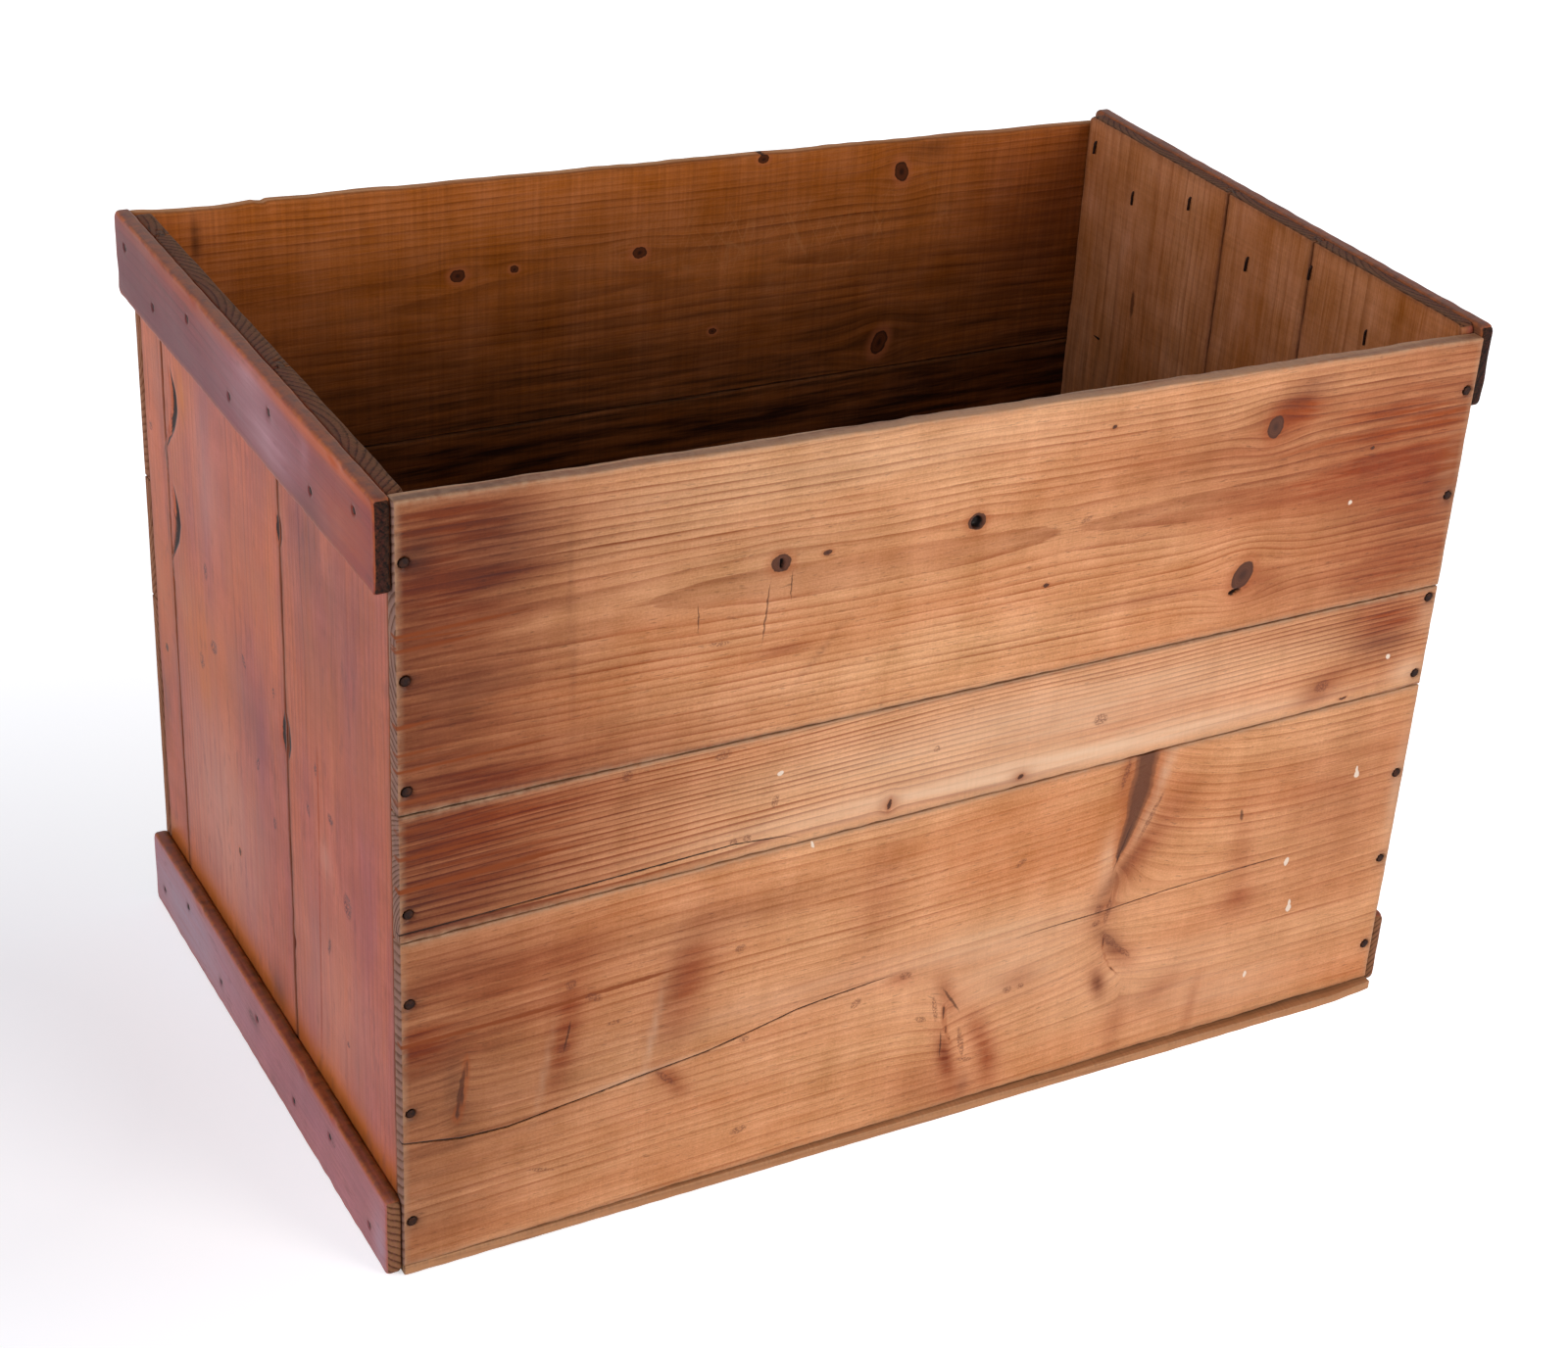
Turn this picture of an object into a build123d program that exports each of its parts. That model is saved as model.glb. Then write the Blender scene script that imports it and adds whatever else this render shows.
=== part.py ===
from build123d import *
import os

# An open-topped nailed box of pine boards, in millimetres.
# The origin is at the middle of the underside. +X runs along the box to its right end,
# -Y is the front and +Z is up.

# The whole box
box_length = 660.0  # over the outer faces of the end boards; also the length of the side boards
box_depth = 406.0  # over the outer faces of the front and back boards
left_end_height = 468.0  # from the underside to the top of the left end
right_end_height = 458.0  # the right end was cut a little shorter

# Boards
side_thickness = 9.5  # front and back boards
end_thickness = 9.5  # upright boards of the ends
floor_thickness = 6.3
edge_ease = 0.8  # worn rounding on the long edges of the boards
butt_gap = 0.8  # open joint between two boards of the front, the back or the floor

# Heights of the boards of the front and the back, at their left and right ends
front_bottom_height = (211.0, 217.8)
front_middle_height = (76.1, 67.9)
front_drop = (1.0, 5.5)  # how far the top of the front lies below the tops of the two ends
back_bottom_height = (213.0, 216.0)
back_middle_height = (80.0, 72.4)
back_drop = (2.0, 7.5)

# Upright boards of the ends, tongued and grooved; the widest board of each end takes the rest
left_front_width = 154.5
left_back_width = 38.0
right_front_width = 140.5
right_middle_width = 88.5
end_joint_gap = 1.2  # open joint on the faces of the end boards
left_front_joint_gap = 2.2  # the joint beside the left end's front board has shrunk open
tongue_length = 6.0
tongue_thickness = 3.0
groove_clearance = 0.25

# Cleats on the outside of the ends
cleat_thickness = 9.0
cleat_height = 51.0
cleat_setback = 2.0  # the cleats stop short of the face of the front
cleat_round = 2.5  # worn rounding of their edges

# Floor boards, which run lengthwise under the sides and the ends
floor_front_width = 135.0
floor_back_width = 136.0
floor_bulge = 8.0  # the front floor board stands out this far near its right end
floor_bulge_start = 205.0  # where the bulge begins, from the right end
floor_bulge_peak = 32.0  # where it is widest, from the right end
floor_bulge_end = 5.0  # what is left of it at the right end

# Corner nails, driven through the front and the back into the edges of the ends
corner_nail_length = 50.0
corner_shank_radius = 1.4
corner_head_radius = 3.3
corner_head_thickness = 1.2
corner_nail_inset = 5.2  # from the end of the side board to the line of nails
nail_sink = 0.35  # the heads are driven this far below the wood
nail_clearance = 0.08  # round shanks and heads

# Places of the corner nails across each board, as shares of the board's height there
front_left_shares = {"bottom": (0.14, 0.484, 0.818), "middle": (0.227,), "top": (0.08, 0.44, 0.81)}
front_right_shares = {"bottom": (0.123, 0.424, 0.714), "middle": (0.13, 0.9), "top": (0.38, 0.797)}
back_shares = {"bottom": (0.13, 0.47, 0.82), "middle": (0.3,), "top": (0.1, 0.45, 0.8)}

# Cleat nails, driven through a cleat and an end board and bent over on the inside
cleat_shank_radius = 1.0
cleat_head_radius = 2.4
cleat_head_thickness = 0.8
cleat_nail_margin = 17.0  # from the long edges of the cleat to the two rows of nails
cleat_nail_shares = (0.066, 0.215, 0.362, 0.514, 0.68, 0.832, 0.953)  # along the cleat from the front
clinch_radius = 1.5  # centre line of the bend
clinch_length = 8.0  # straight tail of the bent-over point

# Floor nails, driven up through the floor into the sides and the ends
floor_nail_length = 28.0
floor_shank_radius = 1.2
floor_head_radius = 2.8
floor_head_thickness = 1.0
floor_side_nail_count = 6
floor_side_nail_inset = 75.0  # from the end of the floor to the first nail along a side
floor_end_shares = (0.3, 0.7)  # across each floor board, into an end
nail_point_length = 4.0

# Derived places
half_length = box_length / 2
half_depth = box_depth / 2
inner_half_depth = half_depth - side_thickness
end_heights = (left_end_height, right_end_height)
nail_line = half_length - corner_nail_inset
corner_hole_depth = corner_nail_length - side_thickness + nail_point_length
floor_hole_depth = floor_nail_length - floor_thickness + nail_point_length

OUT_FRONT = (0, -1, 0)
OUT_BACK = (0, 1, 0)
OUT_LEFT = (-1, 0, 0)
OUT_RIGHT = (1, 0, 0)
DOWN = (0, 0, -1)
UP = (0, 0, 1)

pieces = {}


def keep(piece, name):
    """Labels a finished piece and keeps it for writing."""
    piece.part.label = name
    pieces[name] = piece.part


def faces_at(points, outward, across=None):
    """Planes at the given points that look out of the wood, with their own X along across."""
    across = across or (OUT_RIGHT if outward == DOWN else UP)
    return [Plane(origin=point, x_dir=across, z_dir=outward) for point in points]


# Heights of the board edges of one side, bottom to top, as pairs for the left and right ends
def side_edges(bottom_height, middle_height, drop):
    low = (floor_thickness, floor_thickness)
    first = tuple(z + h for z, h in zip(low, bottom_height))
    second = tuple(z + h for z, h in zip(first, middle_height))
    top = tuple(end - d for end, d in zip(end_heights, drop))
    return {"bottom": (low, first), "middle": (first, second), "top": (second, top)}


front_edges = side_edges(front_bottom_height, front_middle_height, front_drop)
back_edges = side_edges(back_bottom_height, back_middle_height, back_drop)


def corner_points(edges, shares, end, y):
    """Places of the corner nails at one end of a side, by board; end is 0 for left and 1 for right."""
    x = (-nail_line, nail_line)[end]
    points = {}
    for board, (lower, upper) in edges.items():
        z, height = lower[end], upper[end] - lower[end]
        points[board] = [(x, y, z + share * height) for share in shares[board]]
    return points


front_left_points = corner_points(front_edges, front_left_shares, 0, -half_depth)
front_right_points = corner_points(front_edges, front_right_shares, 1, -half_depth)
back_left_points = corner_points(back_edges, back_shares, 0, half_depth)
back_right_points = corner_points(back_edges, back_shares, 1, half_depth)


def all_points(by_board):
    """The places of the nails of a whole side's end, in one list."""
    return [point for points in by_board.values() for point in points]


# Cleat nails zigzag between two rows, starting in the row at the cleat's outer edge
cleat_face = half_length + cleat_thickness
cleat_front = -half_depth + cleat_setback
cleat_run = half_depth - cleat_front
cleat_rows = (cleat_nail_margin, cleat_height - cleat_nail_margin)


def cleat_points(x, outer_edge, inward):
    """Places of the nails of one cleat, from the height of its outer edge towards the middle of the end."""
    return [
        (x, cleat_front + share * cleat_run, outer_edge + inward * cleat_rows[n % 2])
        for n, share in enumerate(cleat_nail_shares)
    ]


cleat_nails = {
    "left_top_cleat": (cleat_points(-cleat_face, left_end_height, -1), OUT_LEFT),
    "left_bottom_cleat": (cleat_points(-cleat_face, 0, 1), OUT_LEFT),
    "right_top_cleat": (cleat_points(cleat_face, right_end_height, -1), OUT_RIGHT),
    "right_bottom_cleat": (cleat_points(cleat_face, 0, 1), OUT_RIGHT),
}
tails_against = {"top": UP, "bottom": DOWN}  # the bent points lie towards the middle of the end

# Floor boards, from front to back, as the y places of their long edges
floor_rows = {
    "floor_front_board": (-half_depth, -half_depth + floor_front_width),
    "floor_middle_board": (-half_depth + floor_front_width, half_depth - floor_back_width),
    "floor_back_board": (half_depth - floor_back_width, half_depth),
}
side_middle = half_depth - side_thickness / 2
end_middle = half_length - end_thickness / 2
floor_side_pitch = (box_length - 2 * floor_side_nail_inset) / (floor_side_nail_count - 1)
floor_side_start = -half_length + floor_side_nail_inset
floor_side_x = [floor_side_start + n * floor_side_pitch for n in range(floor_side_nail_count)]
floor_end_y = [
    front + share * (back - front) for front, back in floor_rows.values() for share in floor_end_shares
]
floor_nails = {
    "floor_front_nails": [(x, -side_middle, 0) for x in floor_side_x],
    "floor_back_nails": [(x, side_middle, 0) for x in floor_side_x],
    "floor_left_nails": [(-end_middle, y, 0) for y in floor_end_y],
    "floor_right_nails": [(end_middle, y, 0) for y in floor_end_y],
}


def floor_nail_holes(points):
    """Cuts what the floor nails need in the board that stands on the floor."""
    feet = [(x, y, floor_thickness) for x, y, z in points]
    with Locations(*faces_at(feet, DOWN)):
        Hole(floor_shank_radius + nail_clearance, depth=floor_hole_depth)


# Front and back boards
def side_board(edges, y_front, outward, nail_points, floor_points):
    """A lengthwise board of the front or the back, between two edge lines given by their end heights."""
    (low_left, low_right), (top_left, top_right) = edges
    lift = butt_gap if low_left > floor_thickness else 0
    face = Plane(origin=(0, y_front, 0), x_dir=(1, 0, 0), z_dir=OUT_FRONT)
    with BuildPart() as board:
        with BuildSketch(face):
            with BuildLine():
                Polyline(
                    (-half_length, low_left + lift),
                    (half_length, low_right + lift),
                    (half_length, top_right),
                    (-half_length, top_left),
                    close=True,
                )
            make_face()
        extrude(amount=-side_thickness)
        long_edges = [edge for edge in board.edges() if edge.length > box_length / 2]
        fillet(long_edges, min(edge_ease, 0.3 * side_thickness))
        with Locations(*faces_at(nail_points, outward)):
            CounterBoreHole(
                radius=corner_shank_radius + nail_clearance,
                counter_bore_radius=corner_head_radius + nail_clearance,
                counter_bore_depth=nail_sink + corner_head_thickness,
            )
        if floor_points:
            floor_nail_holes(floor_points)
    return board


for row in ("bottom", "middle", "top"):
    on_floor = row == "bottom"
    front_board = side_board(
        front_edges[row],
        -half_depth,
        OUT_FRONT,
        front_left_points[row] + front_right_points[row],
        floor_nails["floor_front_nails"] if on_floor else [],
    )
    keep(front_board, f"front_{row}_board")
    back_board = side_board(
        back_edges[row],
        inner_half_depth,
        OUT_BACK,
        back_left_points[row] + back_right_points[row],
        floor_nails["floor_back_nails"] if on_floor else [],
    )
    keep(back_board, f"back_{row}_board")


# Upright boards of the ends
def end_board(x_outer, inward, y_front, y_back, height, front_gap, back_gap, corner_nails, side):
    """An upright board of an end, with a tongue behind and a groove in front where it has a joint gap."""
    foot = Plane(origin=(x_outer + inward * end_thickness / 2, 0, floor_thickness))
    board_height = height - floor_thickness
    front_face = y_front + front_gap / 2
    back_face = y_back - back_gap / 2
    with BuildPart() as board:
        with BuildSketch(foot):
            with Locations((0, (front_face + back_face) / 2)):
                Rectangle(end_thickness, back_face - front_face)
        extrude(amount=board_height)
        top_edges = board.faces().sort_by(Axis.Z)[-1].edges()
        fillet(top_edges, min(edge_ease, 0.3 * end_thickness))
        if back_gap:
            with BuildSketch(foot):
                with Locations((0, back_face)):
                    Rectangle(tongue_thickness, back_gap + tongue_length, align=(Align.CENTER, Align.MIN))
            extrude(amount=board_height - edge_ease)
        if front_gap:
            with BuildSketch(foot):
                with Locations((0, front_face)):
                    Rectangle(
                        tongue_thickness + 2 * groove_clearance,
                        tongue_length + groove_clearance,
                        align=(Align.CENTER, Align.MIN),
                    )
            extrude(amount=board_height, mode=Mode.SUBTRACT)
        for points, outward in corner_nails:
            edge_y = -inner_half_depth if outward == OUT_FRONT else inner_half_depth
            with Locations(*faces_at([(x, edge_y, z) for x, y, z in points], outward)):
                Hole(corner_shank_radius + nail_clearance, depth=corner_hole_depth)
        for cleat in (f"{side}_top_cleat", f"{side}_bottom_cleat"):
            points, outward = cleat_nails[cleat]
            reach = back_gap + tongue_length
            near = [(x_outer, y, z) for x, y, z in points if y_front < y < y_back + reach]
            if near:
                with Locations(*faces_at(near, outward)):
                    Hole(cleat_shank_radius + nail_clearance, depth=2 * end_thickness)
        floor_nail_holes(floor_nails[f"floor_{side}_nails"])
    return board


end_joints = {
    "left": (
        -inner_half_depth,
        -inner_half_depth + left_front_width,
        inner_half_depth - left_back_width,
        inner_half_depth,
    ),
    "right": (
        -inner_half_depth,
        -inner_half_depth + right_front_width,
        -inner_half_depth + right_front_width + right_middle_width,
        inner_half_depth,
    ),
}
end_gaps = {
    "left": (0, left_front_joint_gap, end_joint_gap, 0),
    "right": (0, end_joint_gap, end_joint_gap, 0),
}
end_corner_nails = {
    "left": ((all_points(front_left_points), OUT_FRONT), (all_points(back_left_points), OUT_BACK)),
    "right": ((all_points(front_right_points), OUT_FRONT), (all_points(back_right_points), OUT_BACK)),
}
for side, inward, height in (("left", 1, left_end_height), ("right", -1, right_end_height)):
    joints = end_joints[side]
    for n, place in enumerate(("front", "middle", "back")):
        upright = end_board(
            -inward * half_length,
            inward,
            joints[n],
            joints[n + 1],
            height,
            end_gaps[side][n],
            end_gaps[side][n + 1],
            end_corner_nails[side],
            side,
        )
        keep(upright, f"{side}_end_{place}_board")


# Cleats
for name, (points, outward) in cleat_nails.items():
    side, place = name.split("_")[:2]
    out = outward[0]
    foot = end_heights[side == "right"] - cleat_height if place == "top" else 0
    with BuildPart() as cleat:
        with BuildSketch(Plane.XY.offset(foot)):
            with Locations((out * (half_length + cleat_thickness / 2), cleat_front + cleat_run / 2)):
                Rectangle(cleat_thickness, cleat_run)
        extrude(amount=cleat_height)
        outer_face = cleat.faces().sort_by(Axis.X)[-1 if out > 0 else 0]
        fillet(outer_face.edges(), min(cleat_round, 0.3 * cleat_thickness))
        with Locations(*faces_at(points, outward)):
            CounterBoreHole(
                radius=cleat_shank_radius + nail_clearance,
                counter_bore_radius=cleat_head_radius + nail_clearance,
                counter_bore_depth=nail_sink + cleat_head_thickness,
            )
    keep(cleat, name)


# Floor boards
for name, (front, back) in floor_rows.items():
    front_edge = front if name == "floor_front_board" else front + butt_gap
    corners = [(half_length, back), (-half_length, back), (-half_length, front_edge)]
    if name == "floor_front_board":
        corners += [
            (half_length - floor_bulge_start, front_edge),
            (half_length - floor_bulge_peak, front_edge - floor_bulge),
            (half_length, front_edge - floor_bulge_end),
        ]
    else:
        corners += [(half_length, front_edge)]
    heads = [point for points in floor_nails.values() for point in points if front < point[1] < back]
    with BuildPart() as floor_board:
        with BuildSketch(Plane.XY):
            with BuildLine():
                Polyline(*corners, close=True)
            make_face()
        extrude(amount=floor_thickness)
        with Locations(*faces_at(heads, DOWN)):
            CounterBoreHole(
                radius=floor_shank_radius + nail_clearance,
                counter_bore_radius=floor_head_radius + nail_clearance,
                counter_bore_depth=nail_sink + floor_head_thickness,
            )
    keep(floor_board, name)


# Nails
def straight_nail(length, shank_radius, head_radius, head_thickness):
    """A round wire nail with a flat head and a point, driven down from its plane."""
    head_top = -nail_sink
    head_foot = head_top - head_thickness
    tip = head_top - length
    with BuildPart() as nail:
        with BuildSketch(Plane.XZ):
            with BuildLine():
                Polyline(
                    (0, head_top),
                    (head_radius, head_top),
                    (head_radius, head_foot),
                    (shank_radius, head_foot),
                    (shank_radius, tip + nail_point_length),
                    (0, tip),
                    close=True,
                )
            make_face()
        revolve(axis=Axis.Z)
    return nail.part


def clinched_nail():
    """A cleat nail that goes through the cleat and the end board and is bent over against the inside."""
    head_top = -nail_sink
    head_foot = head_top - cleat_head_thickness
    inside = -(cleat_thickness + end_thickness)
    with BuildPart() as nail:
        with BuildSketch(Plane.XY.offset(head_foot)):
            Circle(cleat_head_radius)
        extrude(amount=cleat_head_thickness)
        with BuildLine(Plane.XZ):
            shank = Line((0, head_foot), (0, inside))
            bend = JernArc(shank @ 1, shank % 1, clinch_radius, -90)
            PolarLine(bend @ 1, clinch_length, direction=bend % 1)
        with BuildSketch(Plane.XY.offset(head_foot)):
            Circle(cleat_shank_radius)
        sweep()
    return nail.part


def nail_group(nail, points, outward, name, across=None):
    """Copies of one nail at the given places, as separate solids of one piece."""
    with BuildPart() as group:
        with Locations(*faces_at(points, outward, across)):
            add(nail)
    keep(group, name)


corner_nail = straight_nail(
    corner_nail_length, corner_shank_radius, corner_head_radius, corner_head_thickness
)
floor_nail = straight_nail(
    floor_nail_length, floor_shank_radius, floor_head_radius, floor_head_thickness
)
cleat_nail = clinched_nail()

nail_group(corner_nail, all_points(front_left_points), OUT_FRONT, "front_left_nails")
nail_group(corner_nail, all_points(front_right_points), OUT_FRONT, "front_right_nails")
nail_group(corner_nail, all_points(back_left_points), OUT_BACK, "back_left_nails")
nail_group(corner_nail, all_points(back_right_points), OUT_BACK, "back_right_nails")
for name, (points, outward) in cleat_nails.items():
    nail_group(cleat_nail, points, outward, f"{name}_nails", tails_against[name.split("_")[1]])
for name, points in floor_nails.items():
    nail_group(floor_nail, points, DOWN, name)

os.makedirs("parts", exist_ok=True)
for name, piece in pieces.items():
    export_step(piece, f"parts/{name}.step")
    print(name, len(piece.solids()), round(piece.volume, 1))
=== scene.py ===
"""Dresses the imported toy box: worn pine sides, red-stained ends with dark cleats, iron nails."""

import logging
import math
from dataclasses import dataclass, field, replace
from enum import Enum
from typing import NamedTuple

import bpy
import numpy as np
from mathutils import Matrix, Vector

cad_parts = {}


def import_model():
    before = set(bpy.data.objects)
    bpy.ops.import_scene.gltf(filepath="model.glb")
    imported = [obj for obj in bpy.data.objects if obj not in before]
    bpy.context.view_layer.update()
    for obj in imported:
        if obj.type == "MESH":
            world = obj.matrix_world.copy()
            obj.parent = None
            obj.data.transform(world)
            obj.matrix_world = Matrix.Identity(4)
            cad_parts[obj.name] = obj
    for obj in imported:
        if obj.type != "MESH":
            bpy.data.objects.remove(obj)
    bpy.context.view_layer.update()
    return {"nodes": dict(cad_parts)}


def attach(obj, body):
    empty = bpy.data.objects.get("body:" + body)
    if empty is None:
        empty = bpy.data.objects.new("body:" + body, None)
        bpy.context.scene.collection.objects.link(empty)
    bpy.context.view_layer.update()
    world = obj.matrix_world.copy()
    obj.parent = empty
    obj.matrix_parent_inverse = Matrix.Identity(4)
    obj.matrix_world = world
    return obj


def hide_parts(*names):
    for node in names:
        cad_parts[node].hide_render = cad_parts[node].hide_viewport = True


LOG = logging.getLogger("toy_box")
MM = 0.001
# Height of the rim of the box in mm
RIM = 455.0
# Stands for "far away" where distances are compared
FAR = 9.0
# Names of the nodes used most. A range takes a value, the range it comes from and the one it goes to
MATH, VECTOR, RANGE = "ShaderNodeMath", "ShaderNodeVectorMath", "ShaderNodeMapRange"
MIX, NOISE, PRINCIPLED = "ShaderNodeMix", "ShaderNodeTexNoise", "ShaderNodeBsdfPrincipled"
# Math nodes by what they do, first with numbers, then with vectors
ADD = f"{MATH}:ADD"
SUBTRACT = f"{MATH}:SUBTRACT"
MULTIPLY = f"{MATH}:MULTIPLY"
MULTIPLY_ADD = f"{MATH}:MULTIPLY_ADD"
MINIMUM = f"{MATH}:MINIMUM"
MAXIMUM = f"{MATH}:MAXIMUM"
ABSOLUTE = f"{MATH}:ABSOLUTE"
STRETCH = f"{VECTOR}:MULTIPLY"
SHIFT = f"{VECTOR}:SUBTRACT"
SCALE = f"{VECTOR}:SCALE"
LENGTH = f"{VECTOR}:LENGTH"
# What a mix of two colours needs: its output and its kind of data
COLOURS = {"out": 2, "data_type": "RGBA"}
Array = np.ndarray
Place = tuple[float, float]
Socket = bpy.types.NodeSocket
Sockets = dict[str, Socket]
Inputs = dict[int | str, object] | list[object]


class Lay(Enum):
    """How a board lies: axes of its length, width and thickness, and the way depth runs from its face."""

    FRONT = (0, 2, 1, 1)
    BACK = (0, 2, 1, -1)
    LEFT_END = (2, 1, 0, 1)
    RIGHT_END = (2, 1, 0, -1)
    LEFT_CLEAT = (1, 2, 0, 1)
    RIGHT_CLEAT = (1, 2, 0, -1)
    FLOOR = (0, 1, 2, 1)


class Edge(Enum):
    """How a long edge of a board is worked."""

    PLAIN = "plain"
    TONGUE = "tongue"
    GROOVE = "groove"


class Tint(Enum):
    """What a stain does to the wood, as the channel of the stain attribute that carries it."""

    RED = 0
    DARK = 1
    PALE = 2
    # Grime, and the painted shade inside the box
    GRIME_AND_SHADE = 3


class Mark(Enum):
    """Small sharp-edged marks on a board."""

    KNOT = "knot"
    HOLE = "hole"
    PAINT = "paint"
    BRUISE = "bruise"
    CHECK = "check"


def linear(code: str) -> tuple[float, float, float, float]:
    """Turns an sRGB hex colour into linear values.

    Args:
        code: the colour as "#rrggbb".

    Returns:
        Linear red, green, blue and an alpha of 1.
    """
    parts = [int(code[i : i + 2], 16) / 255 for i in (1, 3, 5)]
    light = [p / 12.92 if p <= 0.04045 else ((p + 0.055) / 1.055) ** 2.4 for p in parts]
    return (light[0], light[1], light[2], 1.0)


class Nodes:
    """Adds nodes to one node tree."""

    def __init__(self, tree: bpy.types.NodeTree) -> None:
        """Starts on an emptied tree."""
        self.tree = tree
        tree.nodes.clear()

    def add(self, kind: str, inputs: Inputs | None = None, out: int = 0, **settings: object) -> Socket:
        """Adds a node with its settings and links.

        Args:
            kind: the node's type name, with its operation after a colon where it has one.
            inputs: values or output sockets for its inputs, in their order or by index or name.
            out: the index of the output to give back.
            settings: the node's own properties.

        Returns:
            The chosen output socket, or the node's first input where it has no output.
        """
        kind, _, operation = kind.partition(":")
        node = self.tree.nodes.new(kind)
        if operation:
            node.operation = operation
        for name, value in settings.items():
            setattr(node, name, value)
        named = inputs if isinstance(inputs, dict) else dict(enumerate(inputs or ()))
        for key, value in named.items():
            if isinstance(value, Socket):
                self.tree.links.new(value, node.inputs[key])
            else:
                node.inputs[key].default_value = value
        return node.outputs[out] if len(node.outputs) else node.inputs[0]


def smooth(low: float, high: float, x: Array) -> Array:
    """Rises smoothly from 0 at low to 1 at high, or falls where low is the larger."""
    u = np.clip((x - low) / (high - low), 0, 1)
    return u * u * (3 - 2 * u)


def waves(seed: int, s: Array, t: Array, length: Place, count: int = 7) -> Array:
    """A soft random surface made of a few crossed waves.

    Args:
        seed: the fixed seed of its waves.
        s: places along the board in mm.
        t: places across the board in mm.
        length: typical wave lengths along and across in mm.
        count: how many waves are added.

    Returns:
        Values of about -1 to 1 at each place.
    """
    rng = np.random.default_rng(seed)
    total = np.zeros(np.broadcast(s, t).shape)
    for _ in range(count):
        across, along = rng.uniform(-1, 1), rng.uniform(0.4, 1.3)
        turn = 2 * math.pi * (along * s / length[0] + across * t / length[1] + rng.uniform())
        total = total + np.cos(turn)
    return total / math.sqrt(count)


def spread(span: float, step: float, marks: list[tuple[float, float, float]]) -> Array:
    """Grid places along a span, closer together around marks.

    Args:
        span: the length to cover in mm.
        step: the usual spacing in mm.
        marks: place, reach and spacing of each finer stretch in mm.

    Returns:
        Rising places from 0 to span.
    """
    samples_per_mm = 8
    u = np.linspace(0, span, int(span * samples_per_mm) + 2)
    density = np.full_like(u, 1 / step)
    for place, reach, fine in marks:
        density = np.where(np.abs(u - place) < reach, np.maximum(density, 1 / fine), density)
    total = np.concatenate([[0], np.cumsum((density[1:] + density[:-1]) / 2 * np.diff(u))])
    return np.interp(np.linspace(0, total[-1], math.ceil(total[-1]) + 1), total, u)


def round_arris(a: Array, b: Array, radius: Array) -> tuple[Array, Array]:
    """Rounds the arris between two faces.

    Args:
        a: distances from the first face in mm.
        b: distances from the second face in mm.
        radius: the rounding at each place in mm.

    Returns:
        The new distances from both faces.
    """
    p, q = 1 - a / radius, 1 - b / radius
    near = (p > 0) & (q > 0) & (p < 1.001) & (q < 1.001)
    big, small = np.maximum(p, q), np.minimum(p, q)
    turn = math.pi / 4 * small / np.where(near, big, 1)
    major, minor = big * np.cos(turn), big * np.sin(turn)
    new_p, new_q = np.where(p >= q, major, minor), np.where(p >= q, minor, major)
    return np.where(near, radius * (1 - new_p), a), np.where(near, radius * (1 - new_q), b)


def vertices(solid: bpy.types.Mesh) -> Array:
    """Reads a mesh's vertices.

    Args:
        solid: the mesh.

    Returns:
        One row of coordinates in mm for each vertex.
    """
    co = np.empty(len(solid.vertices) * 3, np.float32)
    solid.vertices.foreach_get("co", co)
    return co.reshape(-1, 3).astype(float) / MM


def place_piece(node: str, mesh: bpy.types.Mesh) -> bpy.types.Object:
    """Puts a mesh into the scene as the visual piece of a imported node.

    Args:
        node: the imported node's name.
        mesh: the piece's mesh.

    Returns:
        The piece's object.
    """
    piece = bpy.data.objects.new(f"visual_{node}", mesh)
    bpy.context.scene.collection.objects.link(piece)
    return piece


class Points(NamedTuple):
    """Places on a board in mm: along, across and below its face, and its low and high edges there."""

    s: Array
    t: Array
    n: Array
    low: Array
    high: Array


@dataclass(frozen=True)
class Grain:
    """Where a board was cut from its log, in mm: the rings follow from that."""

    centre: tuple[Place, ...]
    depth: float
    ring: float
    drift: tuple[Place, ...] = ((0.0, 0.0),)
    wobble: float = 1.0
    strength: float = 1.0

    def radius(self, s: Array, t: Array, n: Array) -> Array:
        """Distance from the middle of the tree.

        Args:
            s: places along the board.
            t: places across the board.
            n: depths below the outer face.

        Returns:
            The distance in mm, measured from the middle of the board's face.
        """
        across = t - np.interp(s, *zip(*self.centre))
        below = self.depth + np.interp(s, *zip(*self.drift)) + n
        return np.sqrt(across**2 + below**2) - self.depth


@dataclass(frozen=True)
class Spot:
    """A sharp-edged mark: place, half sizes, tilt in degrees, and how far it pushes the rings aside."""

    mark: Mark
    place: Place
    size: Place
    tilt: float = 0.0
    push: float = 0.75

    @classmethod
    def rows(cls, kinds: dict[Mark, list[tuple[float, ...]]]) -> "tuple[Spot, ...]":
        """Spots by kind. A row has place, half sizes and, where needed, tilt and push."""
        return tuple(cls(mark, row[:2], row[2:4], *row[4:]) for mark in kinds for row in kinds[mark])


@dataclass(frozen=True)
class Spike:
    """A branch cut lengthwise: its line, half widths, and how the rings rise on its two sides, in mm."""

    start: Place
    end: Place
    width: Place
    rise: Place
    reach: Place


@dataclass(frozen=True)
class Stain:
    """A soft patch: kind, place, half sizes, strength, and tilt in degrees."""

    tint: Tint
    place: Place
    size: Place
    strength: float
    tilt: float = 0.0

    @classmethod
    def rows(cls, kinds: dict[Tint, list[tuple[float, ...]]]) -> "tuple[Stain, ...]":
        """Stains by kind. A row has place, half sizes, strength and, where needed, tilt."""
        return tuple(cls(tint, row[:2], row[2:4], *row[4:]) for tint in kinds for row in kinds[tint])


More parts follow.
